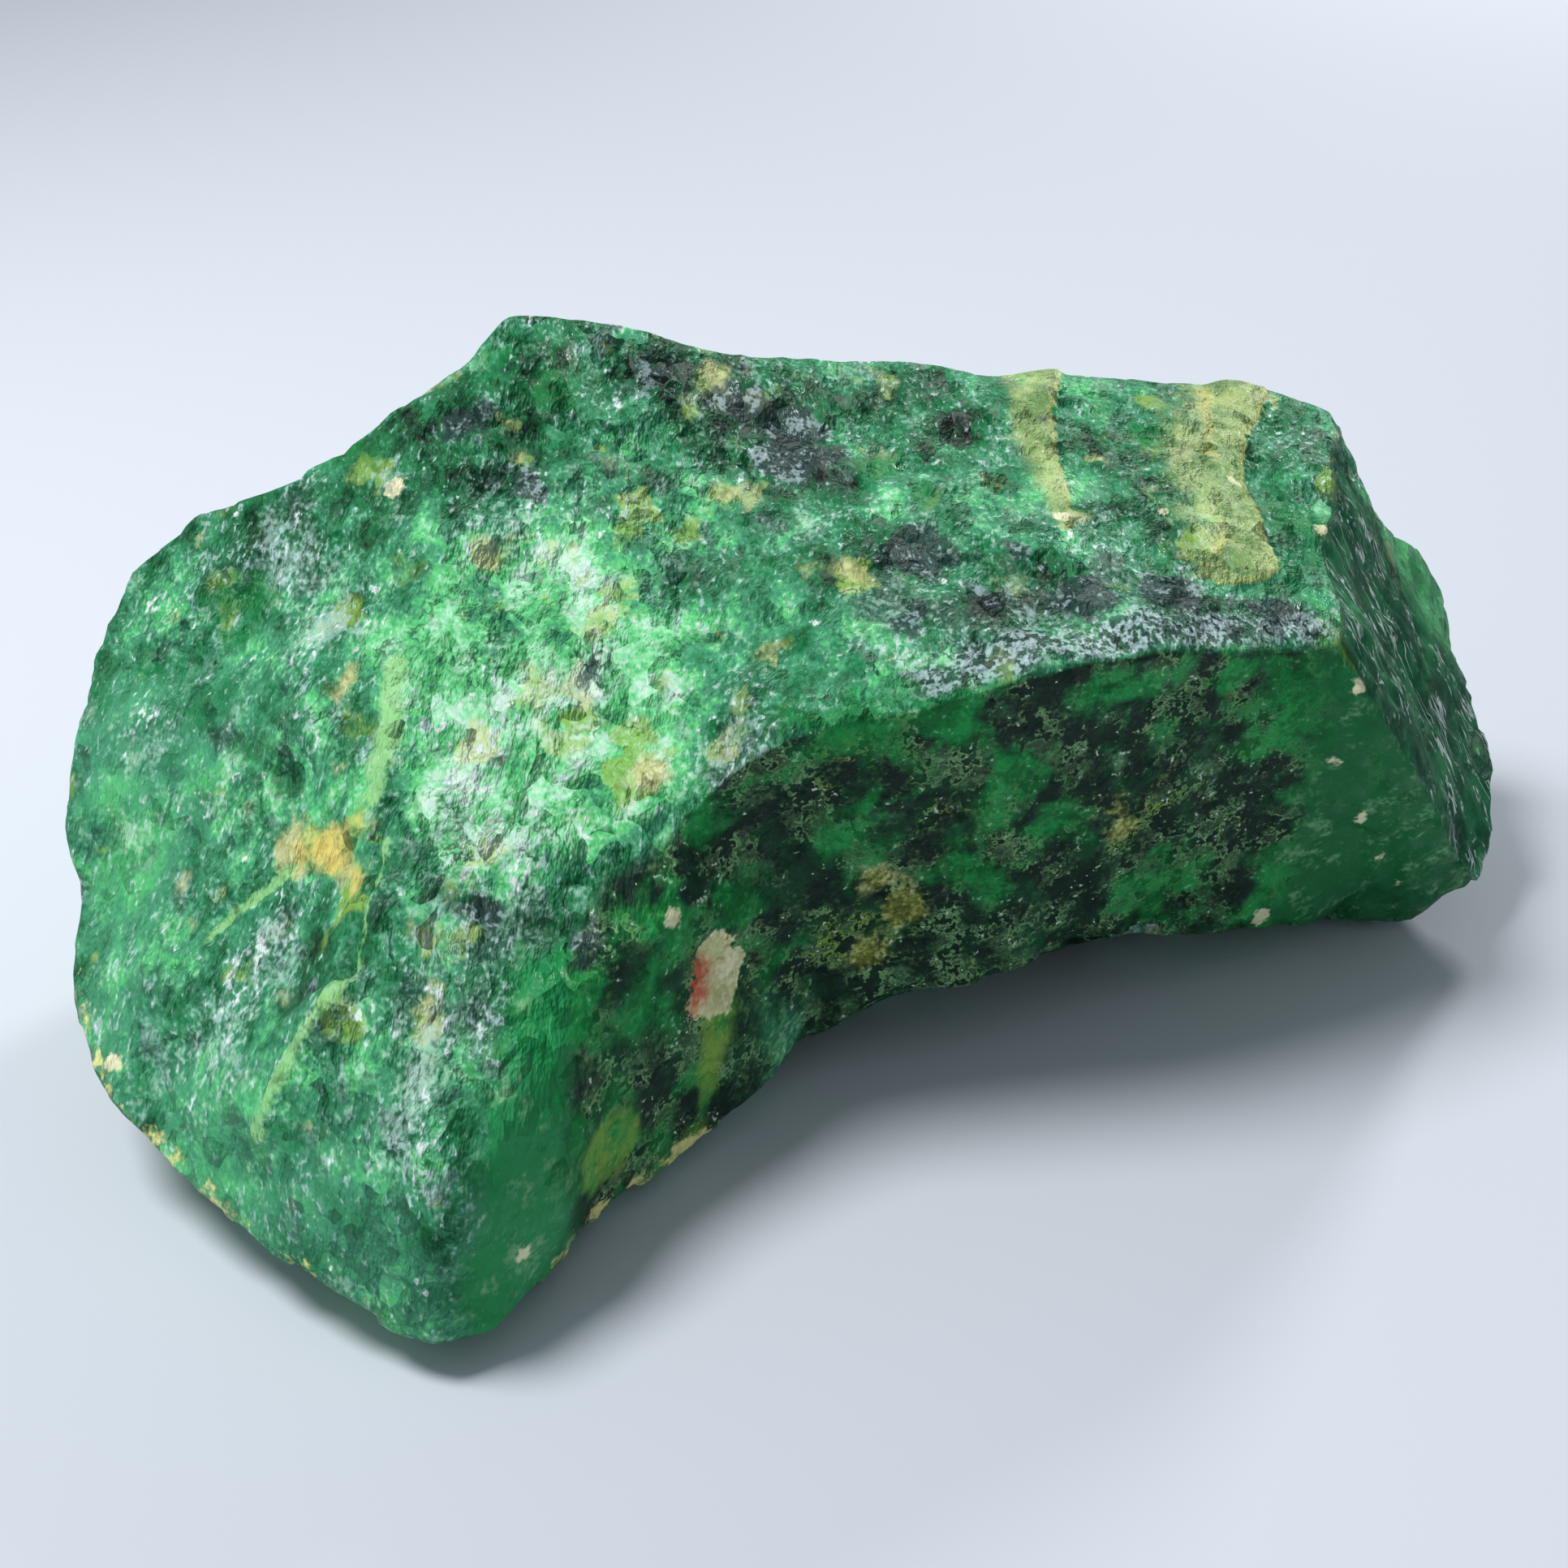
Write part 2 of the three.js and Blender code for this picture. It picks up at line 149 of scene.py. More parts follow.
# Spread: quiet, even rock.
CALM = (
    ((-72, -13, 26), 15, 1.0), ((-78, 0, 34), 14, 0.8), ((-66, -4, 36), 14, 0.7), ((-62, 24, 52), 12, 0.5),
    ((-60, -46, 12), 16, 0.9), ((-73, -30, 15), 14, 0.8), ((-45, -58, 12), 16, 0.9),
    ((-27, -47, 24), 9, 1.0), ((56, 14, 50), 9, 0.5), ((74, 43, 33), 12, 1.0),
)
# Spread: yellow clumps.
YELLOWED = (
    ((-48, -26, 34), 10, 1.0), ((-36, 2, 52), 11, 0.6), ((-20, 14, 56), 14, 0.6), ((-13, 34, 63), 10, 0.7),
    ((-22, -18, 43), 14, 0.5), ((42, 10, 52), 10, 0.7), ((40, 40, 56), 14, 0.5), ((2, 2, 53), 8, 0.8),
    ((-46, -36, 31), 8, 0.7), ((-11, -28, 18), 8, 0.7), ((3, -17, 20), 10, 0.8), ((32, -9, 30), 8, 0.8),
    ((55, 0, 44), 7, 0.7), ((2, -21, 43), 8, 0.7), ((-53, -47, 19), 8, 0.6), ((14, -17, 34), 8, 0.6),
)
# Patches of charcoal.
CHARCOAL = (
    # slope
    ((-33, 14, 57), 3.5), ((-40, 21, 62), 3.5), ((-33, -36, 33), 2.5), ((-24, -37, 31), 2.5),
    ((-49, -40, 27), 1.5), ((-26, 36, 65), 3),
    # top
    ((-20, 31, 64), 3.5), ((-10, 31, 61), 4.5), ((-3, 24, 57), 5.5), ((-4, 30, 59), 4.5),
    ((9, 3.5, 53), 4.5), ((9.5, 7, 54), 3), ((9, -8, 51), 4), ((26, -4, 52), 4.5), ((36, -2, 51), 4.5),
    ((17, -6, 52), 3.5), ((48, 0.5, 48), 3.5), ((20, 3, 53), 2.5), ((-7, 12, 54), 2.5),
)
# Patches of ochre.
OCHRE = (
    ((-48.5, -25.5, 34.5), 4.6), ((-45.5, -31, 34), 2.4), ((-52.5, -24, 33), 3.4), ((-47, -21.5, 37), 3),
    ((-50.5, -24.5, 34), 4), ((-44.5, 27, 64), 3.4), ((-11, 15.5, 55.5), 2.6), ((2.5, 0.5, 53), 3.4),
    ((-35, 3, 52), 2.4), ((-13, 36, 63.5), 2.4), ((5.5, -18, 25.5), 1.8), ((-17, -22, 40), 2.4),
    ((-50, -9, 44), 2.4), ((20, 20, 56), 1.6), ((-54, -31, 29), 1.6), ((-6, -9, 49), 2), ((-22, 18, 57), 2),
)
# Patches: the golden middle of the largest ochre patch.
GOLD = (((-49, -25, 34.5), 6), ((-46, -31, 33), 3.5))
# Patches of olive with a yellow rim.
OLIVE = (
    ((4, -17, 16.5), 2.6), ((8.5, -17, 22.5), 2.8), ((30, -10, 32), 2.2), ((31, -9.5, 28), 1.8),
    ((5.5, -18, 26), 1.8),
)
# Patches: the yellow-green eye low on the front.
GREEN_EYE = (((-21.5, -45.5, 11.5), 4.6), ((-20, -43, 11), 4.0))
# Patches of clear, saturated green.
CLEAR = (
    # slope
    ((-27, -44, 26), 7), ((-30, 27, 65), 5), ((-52, 22, 57), 4), ((-64, 10, 46), 4),
    # top
    ((7, 23.5, 56), 2.5), ((11, 16, 56), 2.5), ((39.5, 35, 56), 4), ((31, 40, 57), 3), ((54, 17, 51), 4.5),
    ((53.5, 9, 50), 4), ((53, 0, 47.5), 4.5), ((25.5, -1, 52), 2),
    # front
    ((2, -23, 45), 4), ((12, -21, 47), 5), ((20, -17, 38), 4.5), ((15, -16, 26), 5), ((37, -4, 17), 6),
    ((28, -14, 46), 5), ((-25, -50, 18), 7), ((40, -8, 45), 5), ((-16, -40, 8), 5), ((4, -20, 34), 4),
    ((-22, -42, 18), 4), ((24, -14, 30), 3.5), ((-12, -26, 38.5), 4), ((-2, -21, 44), 4), ((8, -20, 46), 4),
    ((-17, -33, 32), 4), ((-18, -37, 24), 5), ((-8, -27, 30), 4), ((-6, -24, 20), 3.5), ((-14, -32, 12), 4),
    # right end
    ((50, -4, 40), 8), ((56, 4, 14), 11), ((64, 5, 16), 11), ((58, -1, 32), 9),
)
# Patches and path: the cream cap on the front, its rusty side and its tail.
CAP = (
    ((-12.3, -30.4, 20.6), 3), ((-10, -27.8, 20.6), 3), ((-11, -29, 22.8), 3.2), ((-11, -29, 18.6), 2.2),
)
RED_SIDE = (((-13.8, -31.9, 22.8), 3.5),)
CAP_TAIL = ((-11, -29, 19), (-11.5, -30, 14), (-12.5, -31.5, 8), (-13.5, -33, 4))
# Spread: the fresh green knob behind the right end.
KNOB = (((76, 43, 33), 16, 1.2),)
# Patches: small cream grains.
CREAM_GRAINS = (
    ((-47.2, 13.9, 56.7), 1.4), ((56.3, -4.2, 41.4), 1.1), ((-28.3, -57, 9.3), 1.0), ((50.1, 2.1, 9), 1.5),
    ((59.9, 1.6, 22.8), 0.6), ((63.9, 5.8, 15.2), 0.6), ((67.4, 9, 10.1), 0.7), ((55.1, -1.7, 31.7), 0.6),
    ((-2.6, -22, 37.9), 0.7), ((-15.3, -32.5, 30), 0.9), ((37.8, 15, 53.6), 0.8),
    ((-71.7, -33.4, 13.9), 1.2), ((47, 25.8, 52.8), 0.9), ((55.8, 17, 50.7), 1.0),
    ((25.8, 10.9, 54.5), 1.1),
)
# Path: the raised rib on the lower slope.
RIB = ((-45, -43, 29.5), (-48.5, -45, 24), (-53, -48.5, 17))
# Lines: painted highlights along the rib and the broken lips, where their raised edges catch the light.
EDGE_HIGHLIGHTS = (
    (RIB, 1.3),
    (((-44, -10, 47), (-43.5, -16, 43.5), (-45, -24, 39.5)), 1.5),
    (((-63, -28, 23), (-59.8, -25.6, 26.5), (-53.6, -24.7, 31.6)), 0.8),
    (((-43, -29, 37), (-44, -36, 33.5), (-44.2, -42, 30)), 0.7),
)
# Paths: two breaks in the slope, which are sunk in and have painted shade along them.
UPPER_BREAK = ((-33.5, 17.3, 59.6), (-38, 20, 61.5), (-41, 22.7, 63.4))
LOWER_BREAK = ((-53, -39, 24), (-49, -40, 27), (-45, -41.5, 30))
# Lines: painted shade along the gashes.
CREASE_SHADE = (
    (((-44.6, -28.5, 37), (-45.6, -36, 33.5), (-45.6, -42.5, 30)), 0.9),
    (((-62, -8, 37.5), (-58, -12, 37.5), (-54, -17, 36)), 1.9),
    (UPPER_BREAK, 1.5),
    (((-37, -34.5, 34), (-28, -36.5, 32), (-22, -37, 31)), 2.0),
    (LOWER_BREAK, 1.4),
    (((-35, -21, 41), (-31, -20, 42)), 0.9),
)
# Path: the front edge of the flat top, along which a grey sheen is painted.
SHEEN_EDGE = ((11, -18, 50), (18.5, -15.5, 51), (31, -12, 51), (42, -7, 49), (51, -2, 47))
# Paths: the thin lower edges, left of the tip and right of it.
THIN_EDGE = ((-79, -24, 17), (-72, -37, 11.5), (-63, -45, 8.5), (-54, -53, 6.5), (-44, -60, 5))
THIN_EDGE_RIGHT = ((-25.6, -51.8, 4), (-19.4, -39.9, 3.5), (-11.6, -30.7, 4))
# Lines: bright yellow streaks in the right band.
YELLOW_STREAKS = (
    (((44.1, 14.4, 52.1), (42.2, 6.4, 50.6), (38.5, 6.0, 51)), 1.1),
    (((47.1, 50, 56.3), (45, 31.4, 54.5)), 1.5),
)
# Broken lines across the slopes: path, depth and half the width; a raised line's depth is negative.
CREASES = (
    (((-44, -28.5, 37), (-45, -36, 33.5), (-45, -42.5, 30)), 1.0, 1.5),
    (((-60, -25.6, 26.5), (-56.5, -25, 29), (-53, -24.7, 31.6)), 0.5, 1.6),
    (((-62, -8, 37.5), (-58, -12, 37.5), (-55, -16, 36.6)), 0.6, 1.8),
    (UPPER_BREAK, 0.6, 2.0),
    (LOWER_BREAK, 0.5, 1.8),
    (((-33, -35.5, 33), (-28, -36, 32), (-23.4, -36.5, 31)), 0.5, 2.0),
    (((-45, -11, 46), (-43.5, -16, 43.5), (-44.5, -21.5, 40.6)), -0.6, 2.2),
)
# Path: the back rim of the peak and the flat top.
BACK_RIM = (
    (-41, 28, 66), (-35, 31, 71), (-24, 35, 68), (-11, 38, 65), (3, 43, 62), (29, 48, 59), (58, 48, 56),
)
# Upper border of the dark front left of the crisp edge, as distances right and heights.
BROW = ((-25, 30), (-24, 31.5), (-22, 33.5), (-17, 35.5), (-10, 41), (-5, 44))
# Path: the smooth strip between the lower slope and the dark front.
STRIP = ((-26, -43, 28), (-26, -50, 21), (-26, -56, 14), (-27, -57, 6))
# Directions in which the streaks run, down the slopes and down the right end.
FALL_LINE = (-0.1, -0.7, -0.7)
END_FALL_LINE = (0.43, -0.16, -0.89)

# The fields that come straight from one table of patches or of lines.
PATCHES = {
    "charcoal": CHARCOAL, "ochre": OCHRE, "gold": GOLD, "olive": OLIVE, "clear": CLEAR,
    "cap": CAP, "red_side": RED_SIDE, "cream": CREAM_GRAINS,
}
LINES = {"pale_line": EDGE_HIGHLIGHTS, "gash": CREASE_SHADE, "yellow_streak": YELLOW_STREAKS}
# All that the colours are made from, kept on the mesh three by three.
FIELDS = (
    ("top", "front", "end"),
    ("smooth", "strip", "calm"),
    ("light", "frosted", "greyed"),
    ("cloud_a", "cloud_b", "cloud_c"),
    ("clump_a", "clump_b", "clump_c"),
    ("yellowed", "clear", "charcoal"),
    ("band", "band_share", "yellow_streak"),
    ("ochre", "gold", "olive"),
    ("cap", "tail", "red_side"),
    ("cream", "knob", "thin"),
    ("pale_line", "gash", "gloss"),
    ("base", "lively", "bumpy"),
)


# ------------------------------------------------------------------ settings


class StoneRelief(bpy.types.PropertyGroup):
    """How rough the broken surface is"""

    smoothing: IntProperty(
        name="Smoothing", description="Passes that round the packed facets", default=3, min=0
    )
    flake_size: FloatProperty(
        name="Flake size", description="Width of a large flake", default=0.005, subtype="DISTANCE"
    )
    flake_height: FloatProperty(
        name="Flake height", description="Rise of a large flake", default=0.0005, subtype="DISTANCE"
    )


class StoneLook(bpy.types.PropertyGroup):
    """What light does on the stone"""

    shine: FloatProperty(
        name="Shine", description="Strength of the reflections",
        default=0.22, min=0, max=1, subtype="FACTOR",
    )
    roughness: FloatProperty(
        name="Roughness", description="Roughness of the dull parts",
        default=0.6, min=0, max=1, subtype="FACTOR",
    )
    gloss: FloatProperty(
        name="Gloss", description="How much smoother the glossiest flakes are",
        default=0.35, min=0, max=0.6, subtype="FACTOR",
    )
    bumps: FloatProperty(
        name="Bumps", description="Strength of the finest relief",
        default=1.0, min=0, max=1, subtype="FACTOR",
    )


class Stage(bpy.types.PropertyGroup):
    """Camera, floor and lights"""

    lens: FloatProperty(name="Lens", description="Focal length", default=52.17, unit="CAMERA")
    camera: FloatVectorProperty(
        name="Camera", description="Place of the camera",
        default=(-0.0044, -0.2206, 0.145), subtype="TRANSLATION",
    )
    elevation: FloatProperty(
        name="Elevation", description="How far the camera looks down",
        default=math.radians(28), subtype="ANGLE",
    )
    sky: FloatProperty(
        name="Sky", description="Strength of the even light from all around", default=0.32, min=0
    )
    key: FloatProperty(
        name="Key", description="Power of the large light overhead", default=5.2, min=0, unit="POWER"
    )


# ------------------------------------------------------------------ surface of the stone


def smoothstep(low, high, value):
    """0 at low and 1 at high, with a soft step between them; low may be the larger."""
    t = min(max((value - low) / (high - low), 0.0), 1.0)
    return t * t * (3.0 - 2.0 * t)


def fine_mesh(node, settings):
    """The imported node's mesh, welded, cut finer and smoothed over its facets."""
    stone = bmesh.new()
    stone.from_mesh(node.data)
    bmesh.ops.remove_doubles(stone, verts=stone.verts, dist=WELD * MM)
    bmesh.ops.subdivide_edges(stone, edges=stone.edges, cuts=CUTS, use_grid_fill=True)
    raised = [v for v in stone.verts if v.co.z > UNDERSIDE * MM]
    for _ in range(settings.smoothing):
        bmesh.ops.smooth_vert(
            stone, verts=raised, factor=0.5, use_axis_x=True, use_axis_y=True, use_axis_z=True
        )
    stone.normal_update()
    return stone


def under_brow_at(p, n):
    """How far a point belongs to the dark front where that leans back under the brow."""
    below = smoothstep(0.8, -0.8, p.z - border_at(BROW, p.x))
    sides = smoothstep(-25.5, -23.5, p.x) * smoothstep(-4, -8, p.x) * smoothstep(-22, -25, p.y)
    return below * sides * smoothstep(-0.8, -0.6, n.z)


def areas_at(p, n):
    """How far a point belongs to each of the stone's faces, from its place in mm and its normal."""
    top = smoothstep(0.78, 0.92, n.z) * smoothstep(-20, -6, p.x)
    upright = smoothstep(0.5, 0.72, -n.y) * (1 - smoothstep(0.28, 0.5, n.z))
    front = max(upright * smoothstep(-26, -20, p.x), under_brow_at(p, n))
    end = smoothstep(0.5, 0.68, n.x) * smoothstep(40, 50, p.x) * (1 - smoothstep(34, 38, p.y))
    nose = (1 - smoothstep(5, 11, away_from(p, STRIP))) * smoothstep(48, 56, -p.y)
    hidden = max(smoothstep(0.3, 0.5, n.y), smoothstep(0.3, 0.5, -n.z))
    slope = max(0.0, 1 - top - front - end - nose - hidden)
    return {"top": top, "front": front, "end": end, "nose": nose, "hidden": hidden, "slope": slope}


def drawn_out(p):
    """The same place with its depth shortened, because the grain of the rock runs from front to back."""
    return Vector((p.x, p.y * GRAIN_DRAW, p.z))


def own_numbers(cell):
    """Three numbers from -0.5 to 0.5 that belong to one noise cell."""
    return noise.cell_vector(cell * 13.7) - Vector((0.5, 0.5, 0.5))


def clumps_at(p):
    """Three numbers from -0.5 to 0.5 that each hold over one round clump and fade at its rim."""
    place = drawn_out(p) / CLUMP + 0.3 * noise.noise_vector(p / 2.5)
    gaps, middles = noise.voronoi(place)
    return own_numbers(middles[0]) * (1 - smoothstep(0.3, 0.8, gaps[0]))


def flakes(p, size):
    """Tilted chips about one size across that meet in small steps, from about -0.5 to 0.5."""
    place = p / size
    cell = noise.voronoi(place)[1][0]
    return (place - cell).dot(own_numbers(cell)) * 1.6


def away_from(p, path):
    """Distance of a point from a line through places."""
    nearest = 1000.0
    for start, end in zip(path, path[1:]):
        start, end = Vector(start), Vector(end)
        run = end - start
        t = min(max((p - start).dot(run) / run.length_squared, 0.0), 1.0)
        nearest = min(nearest, (p - start - run * t).length)
    return nearest


def patch_at(p, patches):
    """Distance in mm inside the nearest of some round patches, negative outside."""
    at = tuple(p)
    return max(radius - math.dist(at, place) for place, radius in patches)


def line_at(p, lines):
    """Nearest of some lines: 1 on it, 0 at its half width, negative outside."""
    return max(1 - away_from(p, path) / half for path, half in lines)


def spread_at(p, spread):
    """Sum of what some places change around them, from full at the place to none at its reach."""
    total = 0.0
    at = tuple(p)
    for place, reach, change in spread:
        away = math.dist(at, place)
        if away < reach:
            total += change * smoothstep(1, 0.15, away / reach)
    return total


def flaking_at(p, areas, calm, rim, banded):
    """How strongly a point is flaked: less towards the front, at the rim, on calm rock and on bands."""
    flaking = sum(FLAKING[name] * share for name, share in areas.items())
    flaking *= 0.6 + 0.5 * smoothstep(-20, 20, p.y) - 0.7 * rim
    return flaking * (1 - 0.6 * calm) * (1 - 0.6 * banded)


def flaked_at(warped, p, settings):
    """Height in mm of large and small flakes, with fine rubble over them."""
    size = settings.flake_size / MM
    height = flakes(warped, size) + 0.6 * flakes(warped + Vector((31, 7, 3)), size / 2)
    return height * settings.flake_height / MM + 0.16 * noise.fractal(p / 3.0, 0.9, 2.1, 3)


def end_streaks_at(p):
    """Height in mm of the long streaks down the right end."""
    across = p.y * 0.82 + p.z * 0.3 + 2.5 * noise.noise(p / 9)
    return 0.25 * (1 - abs(math.sin(across * 1.1)) * 2) * (0.5 + noise.noise(p / 6))


def ripples_at(p):
    """Height in mm of the ripples down the lower slope."""
    drawn = Vector((p.x / 1.6, p.y / 7, p.z / 7))
    return smoothstep(30, 38, -p.y) * 0.2 * noise.fractal(drawn, 1, 2, 2)


def relief_at(p, areas, calm, settings):
    """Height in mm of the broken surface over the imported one."""
    rim = 1 - smoothstep(2, 9, away_from(p, BACK_RIM))
    band, share = band_at(p)
    banded = share * smoothstep(-0.4, 0.4, band)
    warped = p + 1.4 * noise.noise_vector(p / 5)
    height = flaking_at(p, areas, calm, rim, banded) * flaked_at(warped, p, settings)
    height += areas["end"] * end_streaks_at(p)
    height += areas["slope"] * ripples_at(p)
    height += RIB_RISE * (1 - smoothstep(0.4, 2.6, away_from(p, RIB)))
    height += areas["hidden"] * (1 - rim) * BIG_FLAKE_HEIGHT * flakes(warped, BIG_FLAKE)
    height += BAND_RISE * banded
    return height - crease_at(p)


def crease_at(p):
    """Depth in mm of the broken lines near a point; raised lines are negative."""
    depth = 0.0
    for path, drop, half in CREASES:
        if (p - Vector(path[1])).length < CREASE_REACH:
            away = away_from(p, path) + 0.8 * noise.noise(p / 2)
            depth += drop * (1 - smoothstep(0.2, half, away))
    return depth


def border_at(border, along):
    """Second number of a border at one value of its first, on straight lines between its rows."""
    for (start, value), (end, next_value) in zip(border, border[1:]):
        if along <= end:
            return value + (next_value - value) * max((along - start) / (end - start), 0.0)
    return border[-1][1]


def band_at(p):
    """Distance in mm inside a yellow band, from its right border, and how strong the band is."""
    for band in BANDS:
        border = band["border"]
        start, end = border[0][0], border[-1][0]
        front = p.y - start
        behind = max(0.0, p.y - end)
        right = border_at(border, p.y) - p.x + behind * noise.noise(p / 5)
        widening = band["back_width"] - band["front_width"]
        width = band["front_width"] + widening * front / (end - start)
        if -2 < right < width * 1.3 and front > -3 and p.z > 30:
            fading_left = 1 - smoothstep(0.1, 1.2, right / width)
            fading_behind = smoothstep(8, 1, behind + 5 * noise.noise(p / 4))
            return min(right, front), fading_left * fading_behind
    return -9.0, 0.0


def clouds_at(p):
    """Three soft clouds that don't follow each other."""
    place = drawn_out(p) / CLOUD
    return [noise.fractal(place + Vector(start), 0.9, 2, 3) for start in CLOUD_STARTS]


def fields_at(p, areas, calm):
    """What the colours are made from at one point: shares from 0 to 1 and distances in mm."""
    cloud_a, cloud_b, cloud_c = clouds_at(p)
    clumps = clumps_at(p)
    band, band_share = band_at(p)
    smooth = max(0.8 * areas["nose"], areas["front"] * smoothstep(48, 58, p.x))
    lively = 1 - 0.72 * calm
    # The tables have few places on the hidden faces, so broad noise decides there.
    hidden = areas["hidden"]
    hidden_light = hidden * 1.1 * noise.noise(p / 22)
    hidden_sheen = hidden * max(0.0, 2 * noise.noise(p / 17))
    hidden_grey = hidden * max(0.0, -2 * noise.noise(p / 14))
    lightness = min(max(spread_at(p, LIGHTNESS), -0.9), 1.1)
    light = lightness + 0.5 * noise.fractal(p / 10, 1, 2, 3) + hidden_light
    fields = {
        "top": areas["top"],
        "front": areas["front"],
        "end": areas["end"],
        "smooth": smooth,
        "strip": (1 - smoothstep(1, 9, away_from(p, STRIP))) * (1 - areas["front"]),
        "calm": calm,
        "light": light,
        "frosted": min(spread_at(p, PAINTED_SHEEN) + hidden_sheen, 1.2),
        "greyed": min(spread_at(p, GREYED) + hidden_grey, 1.0),
        "cloud_a": cloud_a,
        "cloud_b": cloud_b,
        "cloud_c": cloud_c,
        "clump_a": clumps.x,
        "clump_b": clumps.y,
        "clump_c": clumps.z,
        "yellowed": min(spread_at(p, YELLOWED), 1.0),
        "band": band,
        "band_share": band_share,
        "tail": max(0.8 + 0.14 * p.z - away_from(p, CAP_TAIL), patch_at(p, GREEN_EYE)),
        "knob": spread_at(p, KNOB),
        "thin": min(away_from(p, THIN_EDGE), away_from(p, THIN_EDGE_RIGHT)),
        "gloss": away_from(p, SHEEN_EDGE),
        "base": 0.47 + 0.27 * light + (0.22 * cloud_a + 0.2 * clumps.x) * lively,
        "lively": lively,
        "bumpy": max(0.0, 1 - 0.5 * smooth - 0.5 * areas["front"] - 0.8 * areas["end"] - 0.3 * calm),
    }
    fields.update({name: patch_at(p, patches) for name, patches in PATCHES.items()})
    fields.update({name: line_at(p, lines) for name, lines in LINES.items()})
    return fields


def roughen(stone, settings):
    """Raises the broken surface and keeps each point's colour fields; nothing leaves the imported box."""
    noise.seed_set(SEED)
    low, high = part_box(STONE_NODE)
    fields = []
    moves = []
    for vertex in stone.verts:
        p = vertex.co / MM
        areas = areas_at(p, vertex.normal)
        calm = min(spread_at(p, CALM) + areas["nose"], 1.0)
        height = relief_at(p, areas, calm, settings) * smoothstep(0.3, 3.0, p.z)
        moves.append(vertex.co + vertex.normal * height * MM)
        fields.append(fields_at(p, areas, calm))
    for vertex, place in zip(stone.verts, moves):
        vertex.co = [min(max(place[i], low[i]), high[i]) for i in range(3)]
    return fields


def stone_mesh(node, settings):
    """The whole surface of the stone, with its colour fields."""
    stone = fine_mesh(node, settings)
    fields = roughen(stone, settings)
    bmesh.ops.recalc_face_normals(stone, faces=stone.faces)
    mesh = bpy.data.meshes.new("broken_stone")
    stone.to_mesh(mesh)
    stone.free()
    for names in FIELDS:
        attribute = mesh.attributes.new(names[0], "FLOAT_VECTOR", "POINT")
        attribute.data.foreach_set("vector", [field[name] for field in fields for name in names])
    mesh.shade_smooth()
    return mesh


# ------------------------------------------------------------------ material


# Which of the mix node's inputs is the first of the two to mix, and which of its outputs is used.
MIX_SOCKETS = {"VECTOR": (4, 1), "RGBA": (6, 2)}


class Wire:
    """An output of a node, so that the material's sums read as Python."""

    def __init__(self, tree, socket):
        self.tree = tree
        self.socket = socket

    def maths(self, operation, *values, output=0):
        """One sum of numbers, or of vectors or colours where any of the values is one."""
        kind = "ShaderNodeMath"
        if any(is_vector(value) for value in values):
            kind = "ShaderNodeVectorMath"
            values = [(v, v, v) if isinstance(v, (int, float)) else v for v in values]
        return self.tree.node(kind, dict(enumerate(values)), output, operation=operation)

    def __add__(self, other):
        return self.maths("ADD", self, other)

    def __sub__(self, other):
        return self.maths("SUBTRACT", self, other)

    def __rsub__(self, other):
        return self.maths("SUBTRACT", other, self)

    def __mul__(self, other):
        return self.maths("MULTIPLY", self, other)

    def __abs__(self):
        return self.maths("ABSOLUTE", self)

    def dot(self, other):
        return self.maths("DOT_PRODUCT", self, other, output="Value")

    def between(self, low, high, most=1.0):
        """0 at low and most at high, with a soft step between them; low may be the larger."""
        inputs = {"Value": self, "From Min": low, "From Max": high, "To Max": most}
        return self.tree.node("ShaderNodeMapRange", inputs, interpolation_type="SMOOTHSTEP")


def is_vector(value):
    """Whether a value of a sum has three numbers, as places and colours have."""
    if isinstance(value, Wire):
        return value.socket.type != "VALUE"
    return isinstance(value, tuple)


